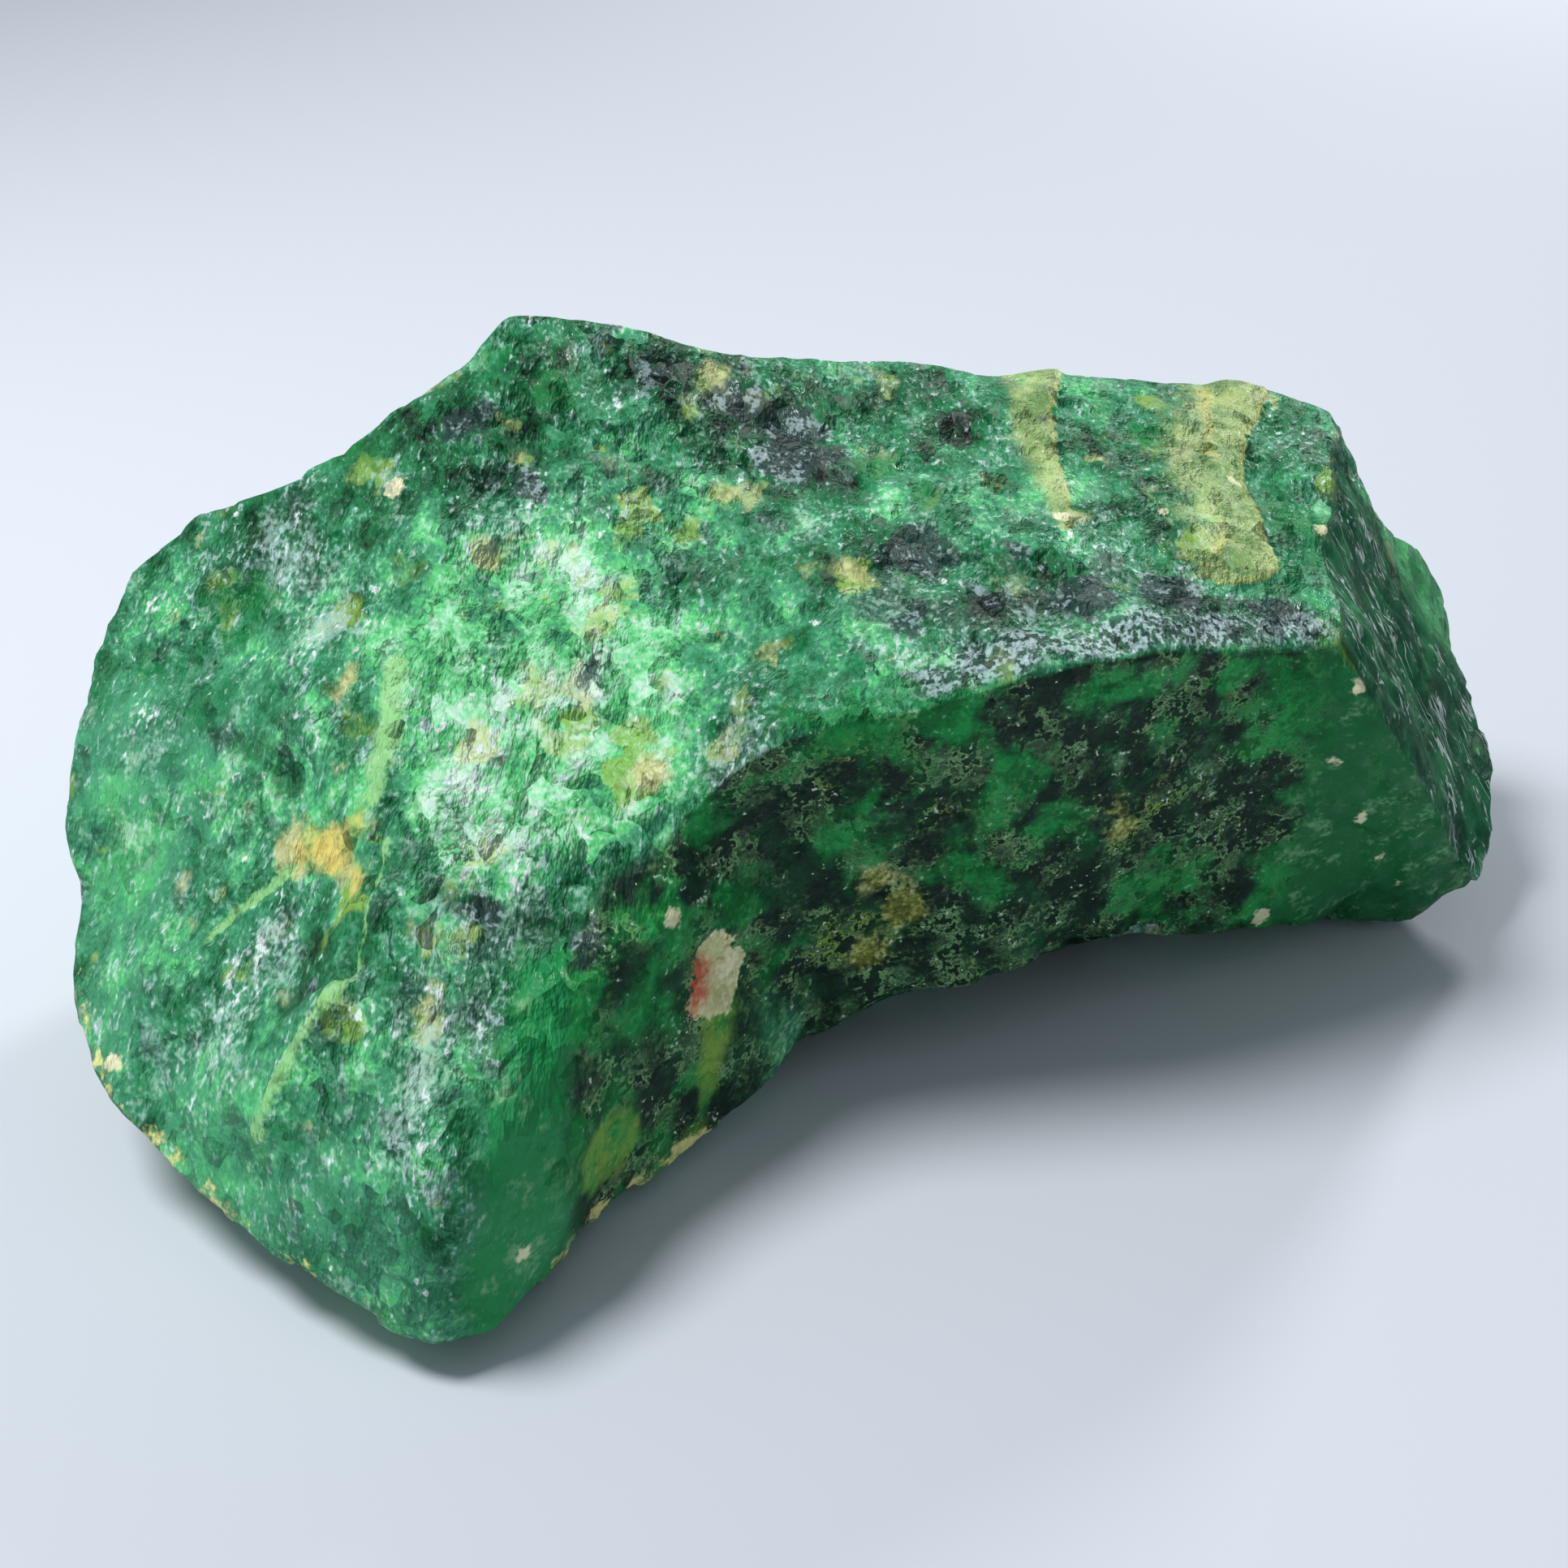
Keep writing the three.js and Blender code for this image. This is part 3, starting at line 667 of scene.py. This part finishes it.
class Tree:
    """A material's node tree."""

    def __init__(self, name):
        self.material = bpy.data.materials.new(name)
        self.material.use_nodes = True
        self.nodes = self.material.node_tree.nodes
        self.links = self.material.node_tree.links
        self.nodes.clear()

    def made(self, kind, inputs, **options):
        """Adds one node and sets or links its inputs."""
        node = self.nodes.new(kind)
        for name, value in options.items():
            setattr(node, name, value)
        for key, value in inputs.items():
            if isinstance(value, Wire):
                self.links.new(value.socket, node.inputs[key])
            else:
                node.inputs[key].default_value = value
        return node

    def node(self, kind, inputs=None, output=0, **options):
        """Adds one node and gives back one of its outputs."""
        return Wire(self, self.made(kind, inputs or {}, **options).outputs[output])

    def noise_outputs(self, place, size, detail, roughness):
        """The outputs of a soft noise with lumps about one size across."""
        inputs = {"Vector": place, "Scale": 1 / size, "Detail": detail, "Roughness": roughness}
        return self.made("ShaderNodeTexNoise", inputs).outputs

    def speckle(self, place, size, detail, roughness):
        """Soft noise from about -0.5 to 0.5."""
        return Wire(self, self.noise_outputs(place, size, detail, roughness)["Fac"]) - 0.5

    def speckles(self, place, size, detail, roughness):
        """Three such noises that don't follow each other."""
        outputs = self.noise_outputs(place, size, detail, roughness)
        parts = self.made("ShaderNodeSeparateColor", {"Color": Wire(self, outputs["Color"])}).outputs
        return [Wire(self, part) - 0.5 for part in (outputs["Fac"], parts["Green"], parts["Blue"])]

    def stretched(self, place, direction, across, along):
        """The same place shortened along one direction, so that noise over it draws out that way."""
        unit = tuple(Vector(direction).normalized())
        return place * (1 / across) + place.dot(unit) * (1 / along - 1 / across) * unit

    def cells(self, place, size):
        """Cells about one size across: distance from the middle, own colour and own middle."""
        node = self.made("ShaderNodeTexVoronoi", {"Vector": place, "Scale": 1 / size})
        return [Wire(self, node.outputs[name]) for name in ("Distance", "Color", "Position")]

    def first(self, shade):
        """The first number of a colour."""
        return self.node("ShaderNodeSeparateColor", {"Color": shade})

    def mix(self, below, above, share, kind="RGBA"):
        """One colour, or one place, laid over another."""
        first, output = MIX_SOCKETS[kind]
        inputs = {"Factor": share, first: below, first + 1: above}
        return self.node("ShaderNodeMix", inputs, output, data_type=kind)

    def ramp(self, share, shades):
        """Colours one after another as the share goes from 0 to 1."""
        node = self.made("ShaderNodeValToRGB", {"Fac": share})
        steps = node.color_ramp.elements
        for number in range(1, len(shades) - 1):
            steps.new(number / (len(shades) - 1))
        for step, shade in zip(steps, shades):
            step.color = shade
        return Wire(self, node.outputs["Color"])


def linear(value):
    """One screen value, from 0 to 255, as the linear value that light is mixed in."""
    share = value / 255
    return share / 12.92 if value <= 10 else ((share + 0.055) / 1.055) ** 2.4


def colour(red, green, blue):
    """A colour given in screen values."""
    return (linear(red), linear(green), linear(blue), 1.0)


# The body of the rock, from dark to light.
BLACK_GREEN = colour(5, 22, 17)
DEEP_GREEN = colour(12, 84, 48)
LEAF_GREEN = colour(32, 122, 74)
MID_GREEN = colour(68, 152, 112)
FRESH_GREEN = colour(90, 202, 120)
MINT = colour(156, 230, 178)
PALE_MINT = colour(212, 242, 220)
# Clumps, and the painted sheen and painted glints.
DARK_GREY = colour(42, 80, 68)
PALE_GREY = colour(146, 178, 166)
YELLOW_GREEN = colour(150, 190, 72)
SHEEN_WHITE = colour(188, 218, 214)
GLINT = colour(232, 242, 240)
# The clear greens, the dark front and the right end.
CLEAR_GREEN = colour(6, 126, 54)
SHADED_CLEAR = colour(30, 176, 84)
FRONT_BLACK = colour(12, 42, 30)
SHADED_GREEN = colour(14, 74, 42)
VEIN_GREEN = colour(132, 184, 122)
END_BLACK = colour(10, 74, 48)
TIP_GREEN = colour(24, 146, 76)
RIM_GREEN = colour(132, 190, 136)
# The green of the painted highlights along the rib and the broken lips.
HIGHLIGHT_GREEN = colour(154, 216, 140)
# Charcoal, the yellow bands and the inclusions.
CHARCOAL_GREY = colour(34, 54, 56)
# Light grey of the painted highlights on charcoal and of the painted sheen along the glossy edge of the flat
# top.
SHEEN_GREY = colour(178, 198, 204)
BAND_GREEN = colour(112, 150, 82)
BAND_YELLOW = colour(190, 206, 132)
DULL_OCHRE = colour(122, 136, 72)
PALE_OCHRE = colour(214, 218, 154)
OCHRE_YELLOW = colour(230, 208, 108)
OLIVE_BROWN = colour(90, 100, 40)
OLIVE_GREEN = colour(144, 156, 66)
RIM_YELLOW = colour(252, 250, 164)
RUST = colour(204, 62, 24)
CREAM = colour(255, 250, 206)


class Rock(Tree):
    """The green rock's node tree, with the fields and noises that its layers share."""

    def __init__(self):
        super().__init__("green_rock")
        self.read_fields()
        place = self.node("ShaderNodeTexCoord", output="Object") * (1 / MM)
        drawn = place * (1.0, GRAIN_DRAW, 1.0)
        self.fine = self.speckle(drawn, FINE, detail=1.0, roughness=0.6)
        self.grain, self.grain_b, self.grain_c = self.speckles(drawn, GRAIN, detail=3.0, roughness=0.66)

        # Streaks down the slopes, which turn into long ridge lines down the right end, with painted
        # highlights along them.
        falling = self.stretched(place, FALL_LINE, *STREAK)
        end_falling = self.stretched(place, END_FALL_LINE, *END_STREAK)
        along = self.mix(falling, end_falling, self.end, kind="VECTOR")
        self.streaks = self.speckle(along, 1.0, detail=2.0, roughness=0.65)
        self.ridge_glints = abs(self.streaks).between(0.03, 0.0) * self.end

        # Chips: the distance from a chip's middle, a number of its own, and its tilted height.
        bent = drawn + self.cloud_a * 1.5
        self.chip_away, shade, middle = self.cells(bent, CHIP)
        self.chip = self.first(shade) - 0.5
        self.chip_height = (bent - middle).dot(shade - 0.5)

    def read_fields(self):
        """Makes each field that is kept on the mesh an attribute with the field's name."""
        for names in FIELDS:
            whole = self.node("ShaderNodeAttribute", output="Vector", attribute_name=names[0])
            parts = self.made("ShaderNodeSeparateXYZ", {"Vector": whole}).outputs
            for name, part in zip(names, parts):
                setattr(self, name, Wire(self, part))


# In the layers below, a sum says how much each field and each noise counts, and between() says
# where a layer starts, where it is full and how strong it is there.


def body(rock):
    """The body of the rock, from near black to pale mint, with grey and yellow clumps in it."""
    mottle = (rock.grain * 0.75 + rock.fine * 0.5 + rock.chip * 0.1) * rock.lively
    greens = (BLACK_GREEN, DEEP_GREEN, LEAF_GREEN, MID_GREEN, FRESH_GREEN, MINT, PALE_MINT)
    ground = rock.ramp(rock.base + mottle, greens)

    grey = rock.greyed * 0.45 + rock.cloud_c * 0.45 + rock.grain_b + rock.clump_b * 0.7 - rock.yellowed * 0.2
    grey_shade = (rock.light * 0.3 + rock.fine * 1.4 + rock.grain_c * 1.6).between(-0.3, 0.45)
    grey_shade = rock.mix(DARK_GREY, PALE_GREY, grey_shade)
    ground = rock.mix(ground, grey_shade, grey.between(0.2, 0.6, 0.7))

    yellow = rock.yellowed * 0.5 + rock.light.between(0.4, 1.0, 0.15) + rock.cloud_b * 0.4
    yellow = yellow + rock.grain_c * 0.9 + rock.clump_c * 1.2 - rock.calm * 0.3
    yellow_shade = (rock.grain_b * 1.5 + rock.clump_a).between(-0.2, 0.3)
    yellow_shade = rock.mix(YELLOW_GREEN, PALE_OCHRE, yellow_shade)
    return rock.mix(ground, yellow_shade, yellow.between(0.35, 0.6, 0.65))


def painted_sheen_and_glints(rock, ground):
    """Painted sheen as a whitish haze, and painted highlights as small streaks and as glints."""
    sheen_veil = rock.frosted * 0.35 + rock.cloud_b * 0.45 + rock.grain * 1.6 + rock.fine * 1.2
    sheen_veil_shade = rock.mix(SHEEN_WHITE, PALE_MINT, rock.light.between(-0.2, 0.6))
    ground = rock.mix(ground, sheen_veil_shade, sheen_veil.between(0.15, 0.75, 0.5))
    glint_flecks = rock.streaks * 1.3 + rock.fine * 0.5 + rock.frosted * 0.12 + rock.cloud_a * 0.15
    ground = rock.mix(ground, SHEEN_WHITE, glint_flecks.between(0.12, 0.32, 0.65))
    glints = rock.fine * 0.7 + rock.streaks * 1.3 + rock.grain_c * 1.2
    glints = glints + rock.frosted * 0.16 + rock.cloud_a * 0.2
    return rock.mix(ground, GLINT, glints.between(0.36, 0.5, 0.85))


def painted_crack_shade(rock, ground):
    """Painted shade: fine dark fissure lines between the flakes, and the darker gashes along the sunk
    breaks.
    """
    crack_shade = abs(rock.grain_c + rock.fine * 0.12).between(0.045, 0.005)
    crack_shade_reach = rock.cloud_c * 0.7 - rock.streaks * 1.2 - rock.light * 0.1 - rock.calm * 0.5
    ground = rock.mix(ground, DEEP_GREEN, crack_shade * crack_shade_reach.between(-0.1, 0.4, 0.8))
    gash = rock.gash + rock.grain * 3.5 + rock.streaks * 2.0
    return rock.mix(ground, DEEP_GREEN, gash.between(0.0, 0.9, 0.8))


def dark_front(rock, ground):
    """The shaded front: near-black rock with soft green clouds, thin veins, and painted glints as pinhead
    dots.
    """
    green = rock.cloud_c * 0.45 + rock.grain_b * 1.3 + rock.clump_a * 0.5 + rock.light * 0.4
    dark = rock.mix(FRONT_BLACK, SHADED_GREEN, green.between(-0.1, 0.4))
    moss = rock.fine * 1.1 + rock.grain * 2.0 + rock.chip_away * 0.4 + rock.cloud_a * 0.3
    dark = rock.mix(dark, VEIN_GREEN, moss.between(0.2, 1.0, 0.5))
    vein_shade = (rock.yellowed * 0.7 + rock.grain_c * 1.8).between(0.1, 0.6, 0.8)
    vein_shade = rock.mix(VEIN_GREEN, YELLOW_GREEN, vein_shade)
    vein = abs(rock.grain + rock.fine * 0.35).between(0.06, 0.0)
    veined = rock.cloud_a * 0.6 + rock.grain_c * 1.5 + rock.fine * 0.8
    dark = rock.mix(dark, vein_shade, vein * veined.between(-0.2, 0.3, 0.85))
    glint_specks = rock.fine * 1.4 + rock.grain_c * 0.9 - rock.smooth * 0.1
    dark = rock.mix(dark, GLINT, glint_specks.between(0.3, 0.4, 0.8))
    return rock.mix(ground, dark, rock.front)


def clear_clouds(rock, ground):
    """Clouds of saturated, clear green, brighter on the shaded front."""
    share = rock.clear * 0.2 + rock.cloud_b * 0.8 + rock.grain_c * 2.6 + rock.clump_a
    bright = (rock.grain * 1.8 + rock.cloud_c * 0.4 + rock.fine * 0.8).between(-0.3, 0.4)
    bright = bright * (rock.front - rock.smooth * 0.8)
    shade = rock.mix(CLEAR_GREEN, SHADED_CLEAR, bright)
    return rock.mix(ground, shade, share.between(-0.3, 0.7, 0.75))


def streaked_end(rock, ground):
    """The right end: dark green, with painted highlights along the thin ridge lines down it."""
    shade = (rock.cloud_c * 0.5 + rock.grain_b + rock.streaks).between(-0.35, 0.5)
    shade = rock.mix(END_BLACK, LEAF_GREEN, shade)
    broken = (rock.cloud_a * 0.6 + rock.fine * 0.8 + rock.grain * 1.2).between(-0.15, 0.2, 0.9)
    shade = rock.mix(shade, GLINT, rock.ridge_glints * broken)
    return rock.mix(ground, shade, rock.end * 0.97)


def smooth_parts(rock, ground):
    """The smooth tip, strip and right corner: clear green with pale blots."""
    clear = rock.mix(TIP_GREEN, MID_GREEN, (rock.grain + rock.cloud_a * 0.3).between(-0.3, 0.5, 0.4))
    clear = rock.mix(clear, SHADED_GREEN, rock.front * 0.6)
    blots = rock.grain_c * 2.2 + rock.fine * 0.9 + rock.streaks * 0.8 + rock.cloud_b * 0.4
    clear = rock.mix(clear, RIM_GREEN, blots.between(0.1, 0.7, 0.75))
    share = rock.smooth + rock.strip + rock.grain_b * 1.8 + rock.cloud_b * 0.3
    share = share - rock.frosted * 0.6
    return rock.mix(ground, clear, share.between(0.0, 0.9, 0.85))


def knob(rock, ground):
    """The fresh green knob behind the right end."""
    fresh = (rock.grain * 1.2 + rock.cloud_a * 0.3).between(-0.5, 0.4)
    fresh = rock.mix(LEAF_GREEN, FRESH_GREEN, fresh)
    return rock.mix(ground, fresh, rock.knob.between(0.2, 0.8, 0.8))


def charcoal(rock, ground):
    """Charcoal patches, pebbled, with painted highlights on each pebble."""
    pebble_highlights = rock.fine * 1.2 + rock.chip * 0.3 - rock.chip_away * 0.4 + rock.grain_c * 1.2
    shade = rock.mix(CHARCOAL_GREY, SHEEN_GREY, pebble_highlights.between(-0.12, 0.1, 0.6))
    coal = rock.charcoal * 0.3 + rock.cloud_a * 0.7 + rock.grain * 2.4
    return rock.mix(ground, shade, coal.between(0.0, 0.5, 0.85))


def painted_sheen_edge(rock, ground):
    """Painted sheen along the front edge of the flat top: reflections painted in light grey over dark grey.
    """
    shade = (rock.fine * 1.2 + rock.grain_b + rock.streaks).between(-0.1, 0.14)
    shade = rock.mix(CHARCOAL_GREY, SHEEN_GREY, shade)
    gloss = rock.gloss + rock.grain * 9.0 + rock.clump_b * 4.0
    return rock.mix(ground, shade, gloss.between(5.0, 2.0, 0.75) * rock.top)


def yellow_bands(rock, ground):
    """The two yellow bands over the flat top, each crisp on its right and fading on its left."""
    inside = rock.band + rock.fine + rock.grain * 3.0
    strong = rock.band_share + rock.cloud_c * 0.25 + rock.grain_b
    band = inside.between(-0.4, 0.3) * strong.between(0.2, 0.8, 0.8)
    shade = (rock.grain * 1.2 + rock.cloud_a * 0.4 + rock.streaks * 0.6).between(-0.35, 0.3)
    shade = rock.mix(BAND_GREEN, BAND_YELLOW, shade)
    streak = (rock.yellow_streak + rock.grain * 3.0).between(0.0, 1.0, 0.6)
    shade = rock.mix(shade, OCHRE_YELLOW, streak + inside.between(0.9, 0.1, 0.35))
    return rock.mix(ground, shade, band)


def ochre_patches(rock, ground):
    """Ochre patches, golden in the middle of the largest."""
    shade = (rock.grain * 1.6 + rock.cloud_a * 0.3 + rock.fine * 0.8).between(-0.4, 0.3)
    shade = rock.mix(DULL_OCHRE, PALE_OCHRE, shade)
    gold = (rock.gold * 0.4 + rock.grain_c * 2.5).between(0.0, 0.8)
    shade = rock.mix(shade, OCHRE_YELLOW, gold * (rock.grain + rock.fine * 0.5).between(-0.35, 0.15))
    patch = rock.ochre * 0.3 + rock.cloud_b * 0.8 + rock.grain_b * 2.6
    return rock.mix(ground, shade, patch.between(0.0, 0.8, 0.9))


def olive_patches(rock, ground):
    """Olive patches with a yellow rim."""
    inside = rock.olive + rock.grain * 4.0 + rock.cloud_b * 1.2 + rock.fine
    shade = (rock.grain_b * 1.6 + rock.cloud_a * 0.4 + rock.fine * 1.3).between(-0.5, 0.6)
    shade = rock.ramp(shade, (OLIVE_BROWN, OLIVE_GREEN, PALE_OCHRE))
    rim = inside.between(1.2, 0.6) * (rock.grain_c * 2.0 + rock.fine).between(-0.1, 0.3, 0.5)
    shade = rock.mix(shade, RIM_YELLOW, rim)
    return rock.mix(ground, shade, inside.between(-0.4, 1.0, 0.85))


def yellow_green_marks(rock, ground):
    """The tail under the cream cap and the eye at the left of the front."""
    shade = (rock.grain_b * 1.5 + rock.fine + rock.cloud_a * 0.4).between(-0.6, 0.3)
    shade = rock.mix(SHADED_CLEAR, YELLOW_GREEN, shade)
    mark = rock.tail + rock.grain * 5.0 + rock.cloud_b
    return rock.mix(ground, shade, mark.between(-0.6, 2.0, 0.75))


def cream_cap(rock, ground):
    """The cream cap with its rusty side."""
    shade = rock.mix(PALE_OCHRE, CREAM, (rock.grain_b * 1.5 + rock.fine * 1.2).between(-0.2, 0.3))
    rusty = rock.red_side * 0.35 + rock.grain_c * 2.5 + rock.fine * 0.6
    shade = rock.mix(shade, RUST, rusty.between(-0.3, 0.7, 0.9))
    cap = rock.cap + rock.grain * 5.0 + rock.fine
    return rock.mix(ground, shade, cap.between(-0.1, 0.5))


def painted_edge_highlights(rock, ground):
    """Painted highlights along the rib and the broken lips."""
    highlight = rock.pale_line + rock.fine + rock.grain_c * 1.4
    return rock.mix(ground, HIGHLIGHT_GREEN, highlight.between(-0.1, 0.5, 0.8))


def thin_edges(rock, ground):
    """Yellow lower edges, where the rock is so thin that light comes through."""
    thin = rock.thin + rock.grain * 8.0 + rock.fine * 3.0
    return rock.mix(ground, RIM_YELLOW, thin.between(1.3, -0.2, 0.85))


def cream_grains(rock, ground):
    """A few small cream grains."""
    grains = rock.cream + rock.grain * 3.5 + rock.fine * 1.2
    return rock.mix(ground, CREAM, grains.between(-0.1, 0.5, 0.85))


# What lies over the body of the rock, from below.
LAYERS = (
    painted_sheen_and_glints, painted_crack_shade,
    dark_front, clear_clouds, streaked_end, smooth_parts, knob,
    charcoal, painted_sheen_edge, yellow_bands,
    ochre_patches, olive_patches, yellow_green_marks, cream_cap,
    painted_edge_highlights, thin_edges, cream_grains,
)


def green_rock(look):
    """The stone's material: all the layers, with roughness and fine relief of the same noises."""
    rock = Rock()
    ground = body(rock)
    for layer in LAYERS:
        ground = layer(rock, ground)

    bumps = (rock.chip_height * 1.4 + rock.streaks * 0.8) * rock.bumpy
    glossy = rock.grain_b * 1.4 + rock.chip * 0.5 + rock.fine * 0.5 + rock.frosted * 0.2
    inputs = {
        "Base Color": ground,
        "Roughness": look.roughness - glossy.between(0.0, 0.4, look.gloss) + rock.end * 0.3,
        "Normal": rock.node("ShaderNodeBump", {"Strength": look.bumps, "Distance": MM, "Height": bumps}),
        "IOR": 1.5,
        "Specular IOR Level": look.shine,
    }
    surface = rock.node("ShaderNodeBsdfPrincipled", inputs)
    rock.made("ShaderNodeOutputMaterial", {"Surface": surface})
    return rock.material


def plain(name, shade, roughness):
    """One even colour."""
    tree = Tree(name)
    surface = tree.node("ShaderNodeBsdfPrincipled", {"Base Color": shade, "Roughness": roughness})
    tree.made("ShaderNodeOutputMaterial", {"Surface": surface})
    return tree.material


# ------------------------------------------------------------------ stage

FLOOR_REACH = 4.0  # metres from the stone to each side of the floor
FLOOR_ROUGHNESS = 0.8
FLOOR_COLOUR = colour(208, 214, 223)
SKY_COLOUR = colour(232, 240, 250)
# Each lamp's name, place and size in metres, and its power as a share of the key light's.
LAMPS = (
    ("overhead", (-0.35, 0.0, 0.7), 0.3, 1.0),
    ("behind", (0.5, 1.1, 0.7), 0.25, 1.4),
)
SENSOR_WIDTH = 36.0  # millimetres
NEAREST_SEEN = 0.01  # metres from the camera


def add_floor(scene):
    """A wide pale floor under the stone."""
    form = bmesh.new()
    bmesh.ops.create_grid(form, x_segments=1, y_segments=1, size=FLOOR_REACH)
    mesh = bpy.data.meshes.new("floor")
    form.to_mesh(mesh)
    form.free()
    mesh.materials.append(plain("pale_floor", FLOOR_COLOUR, FLOOR_ROUGHNESS))
    floor = bpy.data.objects.new("floor", mesh)
    scene.collection.objects.link(floor)


def add_sky(scene, strength):
    """Even light from all around."""
    world = bpy.data.worlds.new("studio")
    world.use_nodes = True
    background = world.node_tree.nodes["Background"]
    background.inputs["Color"].default_value = SKY_COLOUR
    background.inputs["Strength"].default_value = strength
    scene.world = world


def add_lamp(scene, name, place, size, power):
    """A round lamp that shines at the stone."""
    lamp = bpy.data.lights.new(name, "AREA")
    lamp.shape = "DISK"
    lamp.size = size
    lamp.energy = power
    light = bpy.data.objects.new(name, lamp)
    light.location = place
    light.rotation_euler = (-Vector(place)).to_track_quat("-Z", "Y").to_euler()
    scene.collection.objects.link(light)


def add_camera(scene, stage):
    """The camera in front of the stone, looking down at it."""
    lens = bpy.data.cameras.new("camera")
    lens.lens = stage.lens
    lens.sensor_width = SENSOR_WIDTH
    lens.clip_start = NEAREST_SEEN
    camera = bpy.data.objects.new("camera", lens)
    camera.location = stage.camera
    camera.rotation_euler = (math.pi / 2 - stage.elevation, 0, 0)
    scene.collection.objects.link(camera)
    scene.camera = camera


# ------------------------------------------------------------------ operators


class EMERALD_OT_stone(bpy.types.Operator):
    """Builds the stone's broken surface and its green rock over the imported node"""

    bl_idname = "emerald.stone"
    bl_label = "Stone"

    def execute(self, context):
        scene = context.scene
        mesh = stone_mesh(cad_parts[STONE_NODE], scene.emerald_relief)
        stone = bpy.data.objects.new("raw_emerald", mesh)
        scene.collection.objects.link(stone)
        mesh.materials.append(green_rock(scene.emerald_look))
        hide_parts(STONE_NODE)
        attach(stone, "root")
        return {"FINISHED"}


class EMERALD_OT_stage(bpy.types.Operator):
    """Adds the pale floor, the studio light and the camera"""

    bl_idname = "emerald.stage"
    bl_label = "Stage"

    def execute(self, context):
        scene = context.scene
        stage = scene.emerald_stage
        add_floor(scene)
        add_sky(scene, stage.sky)
        for name, place, size, share in LAMPS:
            add_lamp(scene, name, place, size, stage.key * share)
        add_camera(scene, stage)
        scene.view_settings.view_transform = "Standard"
        return {"FINISHED"}


# The settings that the panel shows, group by group.
SHOWN = {
    "emerald_relief": ("smoothing", "flake_size", "flake_height"),
    "emerald_look": ("shine", "roughness", "gloss", "bumps"),
    "emerald_stage": ("lens", "camera", "elevation", "sky", "key"),
}


class EMERALD_PT_sidebar(bpy.types.Panel):
    """Settings and buttons of the raw emerald"""

    bl_label = "Raw emerald"
    bl_idname = "EMERALD_PT_sidebar"
    bl_space_type = "VIEW_3D"
    bl_region_type = "UI"
    bl_category = "Emerald"

    def draw(self, context):
        for group, names in SHOWN.items():
            box = self.layout.box()
            for name in names:
                box.prop(getattr(context.scene, group), name)
        self.layout.operator(EMERALD_OT_stone.bl_idname)
        self.layout.operator(EMERALD_OT_stage.bl_idname)


CLASSES = (StoneRelief, StoneLook, Stage, EMERALD_OT_stone, EMERALD_OT_stage, EMERALD_PT_sidebar)


def register():
    for cls in CLASSES:
        bpy.utils.register_class(cls)
    bpy.types.Scene.emerald_relief = PointerProperty(type=StoneRelief)
    bpy.types.Scene.emerald_look = PointerProperty(type=StoneLook)
    bpy.types.Scene.emerald_stage = PointerProperty(type=Stage)


def unregister():
    del bpy.types.Scene.emerald_stage
    del bpy.types.Scene.emerald_look
    del bpy.types.Scene.emerald_relief
    for cls in reversed(CLASSES):
        bpy.utils.unregister_class(cls)


def main():
    register()
    bpy.ops.emerald.stone()
    bpy.ops.emerald.stage()


if __name__ == "__main__":
    main()
